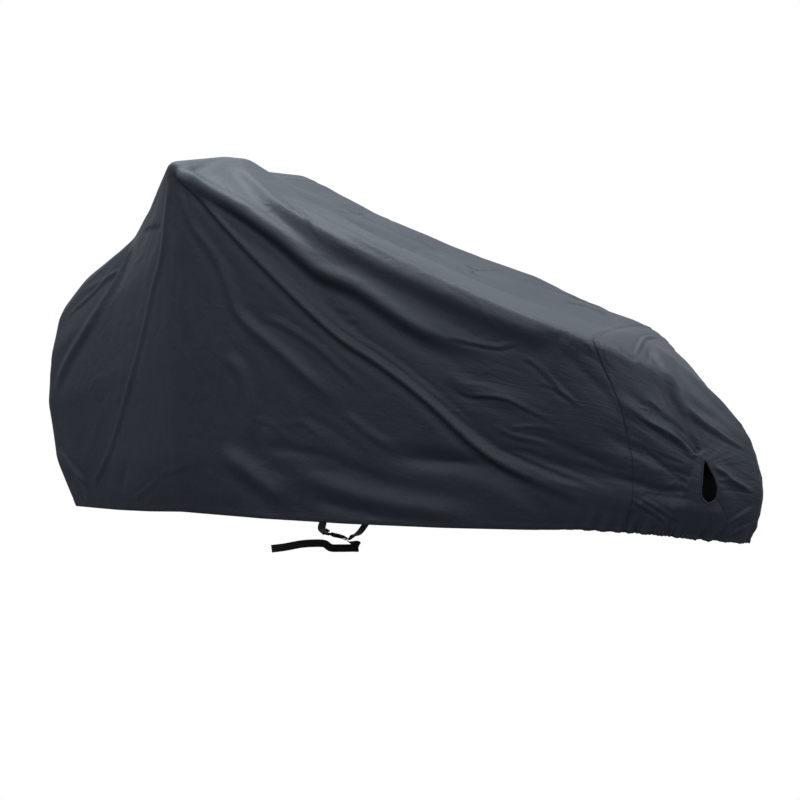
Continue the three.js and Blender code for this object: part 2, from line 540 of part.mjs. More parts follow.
function geometryOf(places, triangles) {
  const geometry = new THREE.BufferGeometry();
  const numbers = places.flatMap((p) => [p.x, p.y, p.z]);
  geometry.setAttribute('position', new THREE.Float32BufferAttribute(numbers, 3));
  geometry.setIndex(triangles.flat());
  geometry.computeVertexNormals();
  return geometry;
}

const { Manifold, Mesh } = await loadManifold();
async function loadManifold() {
  const wasm = await Module();
  wasm.setup();
  return wasm;
}

function solidOf(geometry) {
  return new Manifold(new Mesh({
    numProp: 3,
    vertProperties: new Float32Array(geometry.getAttribute('position').array),
    triVerts: new Uint32Array(geometry.index.array),
  }));
}

function geometryFrom(solid) {
  const mesh = solid.getMesh();
  const geometry = new THREE.BufferGeometry();
  geometry.setAttribute('position', new THREE.BufferAttribute(mesh.vertProperties, 3));
  geometry.setIndex(new THREE.BufferAttribute(mesh.triVerts, 1));
  geometry.computeVertexNormals();
  return geometry;
}

// A closed tube through rings of equally many places, with its ends closed or joined to each other.
function tubeOf(rings, closed) {
  const sides = rings[0].length;
  const count = rings.length;
  const triangles = [];
  for (let i = 0; i < (closed ? count : count - 1); i += 1) {
    for (let j = 0; j < sides; j += 1) {
      const [a, b] = [i * sides + j, i * sides + ((j + 1) % sides)];
      const [c, d] = [((i + 1) % count) * sides + j, ((i + 1) % count) * sides + ((j + 1) % sides)];
      triangles.push([a, b, d], [a, d, c]);
    }
  }
  if (!closed) {
    for (let j = 1; j < sides - 1; j += 1) {
      triangles.push([0, j + 1, j]);
      const last = (count - 1) * sides;
      triangles.push([last, last + j, last + j + 1]);
    }
  }
  return geometryOf(rings.flat(), triangles);
}

// ---- the lock opening ----

// The outline of the opening on one side's cloth, and the cloth's mean normal there.
const LOCK_POINTS = 22;
function lockOutline(side) {
  const place = (row, share) => vec([LOCK.at + share, LOCK.top + (LOCK.bottom - LOCK.top) * row.down, 0]);
  const loop = [...LOCK_OUTLINE.map((row) => place(row, -row.rear)),
    ...LOCK_OUTLINE.slice(1, -1).reverse().map((row) => place(row, row.front))];
  const curve = new THREE.CatmullRomCurve3(loop, true, 'centripetal');
  const outline = curve.getPoints(LOCK_POINTS).slice(0, -1).map((q) => cloth(side, q.x, q.y));
  const normal = drapeNormal(side, LOCK.at, (LOCK.top + LOCK.bottom) / 2);
  return { outline: side > 0 ? outline : outline.reverse(), normal };
}

const CUT_DEPTH = 25;
function lockCutter({ outline, normal }) {
  const shift = (d) => outline.map((p) => p.clone().addScaledVector(normal, d));
  const cutter = solidOf(tubeOf([shift(-CUT_DEPTH), shift(CUT_DEPTH)], false));
  return cutter.volume() > 0 ? cutter : solidOf(tubeOf([shift(CUT_DEPTH), shift(-CUT_DEPTH)], false));
}

// The sewn edge inside the opening: a cord of cloth that follows the outline, a little inside it.
const CORD_SIDES = 6;
function lockEdge({ outline, normal }) {
  const count = outline.length;
  const rings = outline.map((p, i) => {
    const along = outline[(i + 1) % count].clone().sub(outline[(i + count - 1) % count]).normalize();
    const inward = normal.clone().cross(along).normalize();
    const centre = outline.reduce((sum, q) => sum.add(q), new THREE.Vector3()).divideScalar(count);
    if (inward.dot(centre.sub(p)) < 0) inward.negate();
    const middle = p.clone().addScaledVector(inward, EDGE_CORD + LOCK_CLEAR);
    middle.addScaledVector(normal, -CLOTH / 2);
    return Array.from({ length: CORD_SIDES }, (_, j) => {
      const angle = (2 * Math.PI * j) / CORD_SIDES;
      return middle.clone().addScaledVector(inward, EDGE_CORD * Math.cos(angle))
        .addScaledVector(normal, EDGE_CORD * Math.sin(angle));
    });
  });
  return tubeOf(rings, true);
}

// ---- the belly strap and its buckle ----

// Webbing through a row of bends, rounded between them.
const STRAP_STEPS = 3;
function webbing(bends) {
  const path = new THREE.CatmullRomCurve3(bends.map((bend) => vec(bend.at)), false, 'centripetal');
  const steps = (bends.length - 1) * STRAP_STEPS;
  const rings = [];
  for (let i = 0; i <= steps; i += 1) {
    const row = Math.min(bends.length - 2, Math.floor(i / STRAP_STEPS));
    const share = i / STRAP_STEPS - row;
    const p = path.getPoint(i / steps);
    const along = path.getTangent(i / steps);
    const across = vec(bends[row].across).lerp(vec(bends[row + 1].across), share);
    across.addScaledVector(along, -across.dot(along)).normalize();
    const out = along.clone().cross(across);
    rings.push([[-1, -1], [1, -1], [1, 1], [-1, 1]].map(([a, b]) => p.clone()
      .addScaledVector(across, (a * WEBBING.width) / 2).addScaledVector(out, (b * WEBBING.thick) / 2)));
  }
  return tubeOf(rings, false);
}

const alongBuckle = vec(BUCKLE_TO).sub(vec(BUCKLE_FROM)).normalize();
const acrossBuckle = new THREE.Vector3(0, 0, 1).cross(alongBuckle).normalize();
const overBuckle = alongBuckle.clone().cross(acrossBuckle);
const buckleMatrix = new THREE.Matrix4().makeBasis(alongBuckle, acrossBuckle, overBuckle);
const PLUG_END = 16; // the plug's end bar starts this far before the mouth
buckleMatrix.setPosition(vec(BUCKLE_FROM).addScaledVector(alongBuckle, PLUG_END));
const inBuckle = ([along, over]) => ({
  at: new THREE.Vector3(along, 0, over).applyMatrix4(buckleMatrix).toArray(),
  across: acrossBuckle.clone().negate().toArray(),
});

// A plate with its outline in the buckle's plane, between two heights.
function plate(outline, low, high) {
  const shape = new THREE.Shape(outline.map(([x, y]) => new THREE.Vector2(x, y)));
  const geometry = new THREE.ExtrudeGeometry(shape, { depth: high - low, bevelEnabled: false });
  geometry.translate(0, 0, low);
  return solidOf(merged(geometry));
}
const block = (x0, x1, y0, y1, z0, z1) => plate([[x0, y0], [x1, y0], [x1, y1], [x0, y1]], z0, z1);

function merged(geometry) {
  const plain = geometry.clone();
  plain.deleteAttribute('normal');
  plain.deleteAttribute('uv');
  return mergeVertices(plain, 1e-4);
}

// The socket: a flat hollow body with a mouth and two side windows, and a frame of two bars behind it.
function buckleSocket() {
  const half = BUCKLE.width / 2;
  const top = BUCKLE.thick / 2;
  const body = plate([
    [0.5, -half + 3], [3, -half], [BUCKLE.socket - 4, -half + 1], [BUCKLE.socket, -half + 3],
    [BUCKLE.socket, half - 3], [BUCKLE.socket - 4, half - 1], [3, half], [0.5, half - 3],
  ], -top, top);
  const room = block(-1, 27, -half + 4, half - 4, -top + BUCKLE.wall, top - BUCKLE.wall);
  const windows = block(11, 25, -half - 2, half + 2, -top + BUCKLE.wall, top - BUCKLE.wall);
  const frame = block(BUCKLE.socket - 1, 48.5, -half + 0.5, half - 0.5, -2.25, 2.25);
  const slots = [[33.4, 37.6], [40.8, 45.3]].map(([from, to]) =>
    block(from, to, -WEBBING.width / 2 - 0.8, WEBBING.width / 2 + 0.8, -9, 9));
  const step = block(30, 60, -half - 1, half + 1, 2.25, 9).add(block(30, 60, -half - 1, half + 1, -9, -2.25));
  const hollowed = body.subtract(room).subtract(windows).subtract(step);
  return hollowed.add(frame).subtract(slots[0]).subtract(slots[1]);
}

// The plug: a frame with the bar that the strap is sewn round, two springy prongs and a guide.
function bucklePlug() {
  const half = BUCKLE.width / 2;
  const frame = block(-PLUG_END, 0, -half + 1, half - 1, -2.25, 2.25)
    .subtract(block(-PLUG_END + BUCKLE.bar, -8.6, -WEBBING.width / 2 - 0.8, WEBBING.width / 2 + 0.8, -9, 9));
  const thick = BUCKLE.thick / 2 - BUCKLE.wall - 0.6;
  const prong = (sign) => {
    const outline = [[-1, 6], [14, 8], [14, 5.5], [24, 6.5], [22, 11], [13, 16.4], [11.6, 15.6], [11.6, 12.4],
      [-1, 10.5]].map(([x, y]) => [x, y * sign]);
    return plate(sign > 0 ? outline : outline.reverse(), -thick, thick);
  };
  const guide = block(-1, 20, -2, 2, -1.6, 1.6);
  return frame.add(prong(1)).add(prong(-1)).add(guide);
}

// ---- the cover ----

const COLOURS = { cloth: 0x2b313a, edge: 0x1c1f25, webbing: 0x15171a, plastic: 0x101113 };
const finish = (color, roughness) => new THREE.MeshStandardMaterial({ color, roughness, metalness: 0 });

const cover = new THREE.Group();
function addPiece(name, geometry, material) {
  const mesh = new THREE.Mesh(geometry, material);
  mesh.name = name;
  cover.add(mesh);
  return mesh;
}

const middleOf = ({ corners }) => corners.reduce((sum, corner) => sum + points[corner].s, 0) / 3;
const bodyFaces = faces.filter((face) => middleOf(face) < SEAM_AT);
addPiece('cover_body', sheet(bodyFaces, -1), finish(COLOURS.cloth, 0.55));
const openings = [lockOutline(1), lockOutline(-1)];
const front = openings.reduce((solid, opening) => solid.subtract(lockCutter(opening)),
  solidOf(sheet(faces.filter((face) => middleOf(face) > SEAM_AT), 1)));
addPiece('front_panel', geometryFrom(front), finish(COLOURS.cloth, 0.55));
addPiece('lock_edge_near', lockEdge(openings[0]), finish(COLOURS.edge, 0.7));
addPiece('lock_edge_far', lockEdge(openings[1]), finish(COLOURS.edge, 0.7));
addPiece('strap_near', webbing([...NEAR_STRAP, ...ROUND_PLUG.map(inBuckle)]), finish(COLOURS.webbing, 0.8));
addPiece('strap_far', webbing([...FAR_STRAP, ...THROUGH_SOCKET.map(inBuckle), ...TAIL]),
  finish(COLOURS.webbing, 0.8));
for (const [name, solid] of [['buckle_plug', bucklePlug()], ['buckle_socket', buckleSocket()]]) {
  const mesh = addPiece(name, geometryFrom(solid), finish(COLOURS.plastic, 0.45));
  mesh.applyMatrix4(buckleMatrix);
}

const underCloth = [HANDLEBAR[0], HANDLEBAR[1], UNDER_CLOTH];
cover.position.set(-underCloth[0], -underCloth[1], -underCloth[2]);
const part = new THREE.Group();
part.add(cover);
export default part;
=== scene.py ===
"""A fitted cover for a long two-wheeled cargo bicycle, dressed: coated cloth with its folds and creases,
gathered front hem, bound lock openings and stitched seams, and a webbing belly strap with its buckle."""
import math

import bmesh
import bpy
import numpy as np
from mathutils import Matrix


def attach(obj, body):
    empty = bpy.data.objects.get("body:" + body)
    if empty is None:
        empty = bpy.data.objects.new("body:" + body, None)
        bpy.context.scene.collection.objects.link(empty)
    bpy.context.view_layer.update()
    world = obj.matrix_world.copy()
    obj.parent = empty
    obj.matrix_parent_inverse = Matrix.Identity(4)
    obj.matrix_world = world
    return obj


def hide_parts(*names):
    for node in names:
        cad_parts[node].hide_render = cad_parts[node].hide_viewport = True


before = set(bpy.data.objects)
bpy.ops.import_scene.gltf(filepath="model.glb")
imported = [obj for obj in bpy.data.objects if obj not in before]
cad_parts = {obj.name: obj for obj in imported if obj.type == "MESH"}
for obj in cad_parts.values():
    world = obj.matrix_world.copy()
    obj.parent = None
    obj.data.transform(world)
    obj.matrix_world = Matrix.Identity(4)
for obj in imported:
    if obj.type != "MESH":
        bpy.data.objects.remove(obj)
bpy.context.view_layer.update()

bl_info = {
    "name": "Cargo Bicycle Cover",
    "version": (1, 0, 0),
    "blender": (4, 5, 0),
    "location": "View3D > Sidebar > Cover",
    "description": "Makes a draped cover for a long cargo bicycle",
    "category": "Add Mesh",
}

# The tables are in millimetres from the point where the rear wheel stands on the ground, with +X to the
# front, +Y to the far side and +Z up. A place on the cloth is also given as (s, t): s runs from the rear hem
# to the front one, and t climbs the near side from its hem at 0 to the spine at 1 and goes down the far side
# to 2. The row frame is the frame of the loaded model, in metres.
ORIGIN = np.array([480.0, 0.0, 1295.0])

SECTIONS = [  # share along, then the hem, low, belly, flank, line, ridge and spine
    (0, [(-226, 0, 84), (-308, 0, 250), (-338, 0, 450), (-330, 0, 610), (-312, 0, 720), (-302, 0, 775),
        (-288, 0, 812)]),
    (0.035, [(-190, -80, 84), (-264, -98, 255), (-292, -110, 455), (-286, -96, 640), (-276, -68, 760),
        (-270, -45, 800), (-266, 0, 828)]),
    (0.085, [(-80, -118, 90), (-150, -132, 260), (-165, -146, 480), (-160, -124, 700), (-142, -76, 884),
        (-144, -50, 912), (-144, 0, 920)]),
    (0.16, [(90, -160, 97), (60, -178, 265), (50, -186, 540), (62, -148, 820), (96, -74, 1040),
        (98, -42, 1052), (98, 0, 1054)]),
    (0.24, [(280, -212, 110), (270, -245, 280), (265, -250, 590), (262, -230, 890), (262, -180, 1126),
        (250, -70, 1146), (250, 0, 1146)]),
    (0.315, [(455, -258, 126), (460, -298, 300), (466, -320, 660), (472, -330, 1000), (478, -338, 1246),
        (440, -60, 1298), (436, 0, 1306)]),
    (0.36, [(560, -276, 129), (565, -305, 300), (565, -322, 640), (565, -328, 930), (575, -335, 1196),
        (548, -58, 1280), (540, 0, 1290)]),
    (0.46, [(800, -296, 132), (800, -312, 300), (800, -322, 560), (800, -330, 790), (806, -334, 1068),
        (806, -196, 1134), (800, 0, 1122)]),
    (0.58, [(1110, -300, 138), (1110, -312, 300), (1110, -318, 500), (1110, -324, 680), (1110, -324, 878),
        (1122, -272, 992), (1120, 0, 972)]),
    (0.7, [(1420, -296, 148), (1420, -308, 290), (1425, -314, 440), (1430, -318, 570), (1440, -314, 712),
        (1450, -300, 844), (1440, 0, 846)]),
    (0.8, [(1680, -270, 158), (1705, -294, 290), (1720, -302, 410), (1735, -306, 510), (1755, -304, 612),
        (1788, -302, 702), (1796, 0, 714)]),
    (0.84, [(1800, -235, 163), (1835, -255, 280), (1850, -264, 390), (1858, -266, 490), (1862, -266, 590),
        (1860, -262, 670), (1858, 0, 704)]),
    (0.9, [(1960, -175, 156), (2000, -190, 250), (2014, -192, 340), (2014, -184, 420), (2004, -170, 502),
        (1994, -124, 594), (1994, 0, 636)]),
    (0.955, [(2104, -115, 141), (2150, -125, 215), (2160, -122, 285), (2154, -112, 345), (2142, -96, 413),
        (2130, -60, 476), (2130, 0, 516)]),
    (1, [(2222, 0, 124), (2246, 0, 200), (2254, 0, 250), (2250, 0, 300), (2236, 0, 355), (2216, 0, 400),
        (2190, 0, 444)]),
]
FAR_CHANGES = {  # share along: which of the seven, and its place on the far side
    0.315: {4: (540, 338, 1280), 5: (446, 110, 1280)},
    0.36: {4: (650, 332, 1232), 5: (556, 120, 1240)},
    0.46: {4: (850, 326, 1124), 5: (822, 200, 1118)},
    0.58: {4: (1150, 320, 999), 5: (1140, 200, 974)},
    0.7: {4: (1460, 314, 884), 5: (1455, 200, 864)},
    0.8: {4: (1800, 304, 724), 5: (1806, 262, 738)},
    0.84: {4: (1870, 280, 646), 5: (1872, 260, 706)},
    0.9: {4: (2016, 188, 508), 5: (2008, 130, 606)},
}
# A fold: its width and its rise at both ends, how deep the cloth dips below and above it as shares of the
# rise, the shares of its length over which it fades in and out, and places along its crest.
FOLDS = [
    # main rope fold
    ((11, 16), (15, 25), 0.5, 0.2, (0.03, 0.22), [(500, -335, 1220), (660, -335, 1070), (833, -330, 913),
     (1081, -325, 706), (1236, -320, 615), (1391, -315, 511), (1577, -305, 361), (1768, -270, 278),
     (1870, -230, 225)]),
    # rope band
    ((26, 22), (13, 9), 0.1, 0.6, (0.05, 0.3), [(508, -335, 1224), (666, -335, 1076), (840, -330, 920),
     (1088, -325, 714), (1240, -320, 622)]),
    # rope fold, second crest
    ((8, 7), (7, 8.5), 0.45, 0.1, (0.35, 0.16), [(693, -335, 1065), (860, -330, 922), (1100, -325, 724),
     (1254, -320, 634), (1409, -315, 528), (1590, -305, 385)]),
    # soft fold from the grip
    ((19, 28), (25, 30), 0.4, 0, (0.06, 0.25), [(515, -335, 1208), (710, -330, 1098), (900, -325, 985),
     (1040, -325, 884), (1170, -320, 830), (1380, -315, 708), (1600, -310, 640)]),
    # shoulder ridge
    ((26, 31), (18, 21), 0.12, 0.1, (0.1, 0.06), [(560, -114, 1251), (815, -244, 1089), (1030, -282, 984),
     (1215, -303, 899), (1385, -307, 828), (1545, -309, 760), (1695, -304, 703), (1780, -302, 678)]),
    # fold behind the rope
    ((11, 30), (6, 11), 0.3, 0.2, (0.1, 0.25), [(520, -335, 1165), (570, -330, 1035), (675, -330, 910),
     (750, -330, 755), (895, -325, 645), (1035, -320, 535), (1135, -315, 450)]),
    # rear fold
    ((13, 8), (5, 6), 0.1, 0.2, (0.06, 0.06), [(480, -330, 1190), (445, -315, 1055), (415, -305, 945),
     (350, -275, 830), (290, -255, 690), (215, -235, 540), (140, -210, 400), (60, -180, 280),
     (-50, -136, 165)]),
    # saddle ridge
    ((16, 20), (8, 9), 0.3, 0.4, (0.05, 0.2), [(120, -100, 1010), (75, -115, 925), (20, -125, 840),
     (-65, -135, 730), (-170, -130, 610), (-250, -120, 485)]),
    # rear wheel fold
    ((16, 12), (9, 9), 0.4, 0.4, (0.2, 0.2), [(-245, -105, 295), (-150, -125, 220), (-65, -135, 165)]),
    # grip drop
    ((18, 24), (7, 6), 0.3, 0.3, (0.2, 0.3), [(490, -330, 1040), (510, -325, 840), (550, -325, 660)]),
    # pedal bulge
    ((20, 26), (9, 7), 0.4, 0.4, (0.25, 0.4), [(670, -325, 640), (745, -322, 585), (775, -320, 480),
     (780, -315, 350)]),
    # pedal fold
    ((28, 34), (15, 15), 0.3, 0.2, (0.3, 0.3), [(640, -310, 350), (760, -310, 278), (925, -305, 190)]),
    # belly fold
    ((26, 28), (11, 9), 0.2, 0.5, (0.25, 0.3), [(900, -310, 285), (1165, -305, 225), (1360, -300, 200),
     (1580, -290, 185)]),
    # hollow under the rope
    ((26, 26), (-14, -12), 0, 0, (0.3, 0.3), [(1220, -310, 355), (1550, -305, 320), (1765, -255, 200)]),
    # box fold
    ((16, 22), (7, 6), 0.5, 0.3, (0.35, 0.35), [(1420, -315, 600), (1520, -312, 545), (1610, -310, 525),
     (1740, -305, 475)]),
    # top hollow
    ((34, 30), (-10, -8), 0, 0, (0.2, 0.3), [(820, 30, 1115), (1145, 60, 968), (1505, -25, 825),
     (1700, -70, 750)]),
    # lock hollow, upper
    ((10, 18), (-8, -7), -0.5, -0.5, (0.05, 0.3), [(2108, -134, 372), (2090, -138, 420),
     (2055, -138, 490), (2020, -142, 535), (1970, -165, 595)]),
    # lock fold, high rear
    ((10, 22), (9, 8), 0.6, 0.3, (0.05, 0.3), [(2100, -140, 362), (2060, -160, 415), (1975, -200, 470),
     (1880, -250, 555)]),
    # lock hollow, low rear
    ((14, 22), (-12, -10), -0.4, -0.4, (0.05, 0.3), [(2090, -150, 275), (2020, -185, 275),
     (1970, -205, 290), (1825, -265, 330), (1640, -302, 380)]),
    # lock hollow, rear
    ((10, 20), (-9, -8), -0.4, -0.4, (0.05, 0.3), [(2096, -150, 312), (2020, -190, 345),
     (1955, -215, 385), (1860, -260, 445)]),
    # lock fold, front
    ((12, 16), (7, 6), 0.4, 0.4, (0.2, 0.3), [(2150, -118, 350), (2185, -90, 306), (2232, -35, 262)]),
    # box corner fold
    ((14, 18), (9, 8), 0.4, 0.4, (0.2, 0.3), [(1930, -10, 672), (2000, -85, 610), (2055, -120, 510),
     (2125, -92, 450), (2195, -35, 400)]),
    # far rope fold
    ((16, 26), (13, 20), 0.6, 0.4, (0.04, 0.25), [(575, 336, 1240), (730, 334, 1060), (930, 330, 870),
     (1180, 324, 660), (1440, 314, 470), (1690, 290, 300)]),
    # far soft fold
    ((20, 32), (8, 14), 0.5, 0.5, (0.08, 0.25), [(620, 334, 1205), (830, 330, 1045), (1090, 324, 880),
     (1400, 316, 700)]),
    # far drop
    ((16, 30), (9, 10), 0.4, 0.3, (0.1, 0.3), [(545, 335, 1190), (590, 330, 980), (690, 326, 760),
     (830, 320, 540)]),
    # far rear fold
    ((14, 18), (10, 11), 0.4, 0.4, (0.08, 0.15), [(495, 330, 1180), (420, 300, 930), (310, 262, 680),
     (170, 222, 420), (20, 168, 210)]),
    # far saddle ridge
    ((16, 22), (9, 11), 0.4, 0.4, (0.08, 0.25), [(110, 100, 1000), (20, 125, 850), (-110, 135, 680),
     (-235, 122, 500)]),
    # far belly fold
    ((22, 26), (12, 9), 0.4, 0.6, (0.3, 0.3), [(820, 312, 330), (1120, 306, 262), (1420, 298, 240)]),
    # far box fold
    ((18, 24), (8, 7), 0.4, 0.4, (0.3, 0.3), [(1330, 316, 640), (1520, 310, 560), (1700, 304, 520)]),
    # far lock hollow, upper
    ((11, 18), (-8, -7), -0.5, -0.5, (0.05, 0.3), [(2104, 136, 372), (2062, 148, 470), (1985, 175, 575)]),
    # far lock fold, rear
    ((12, 22), (9, 8), 0.5, 0.4, (0.05, 0.3), [(2092, 146, 350), (1990, 196, 420), (1850, 262, 500)]),
    # far lock hollow
    ((14, 22), (-11, -9), -0.4, -0.4, (0.05, 0.3), [(2090, 150, 280), (1970, 206, 300),
     (1760, 290, 360)]),
]

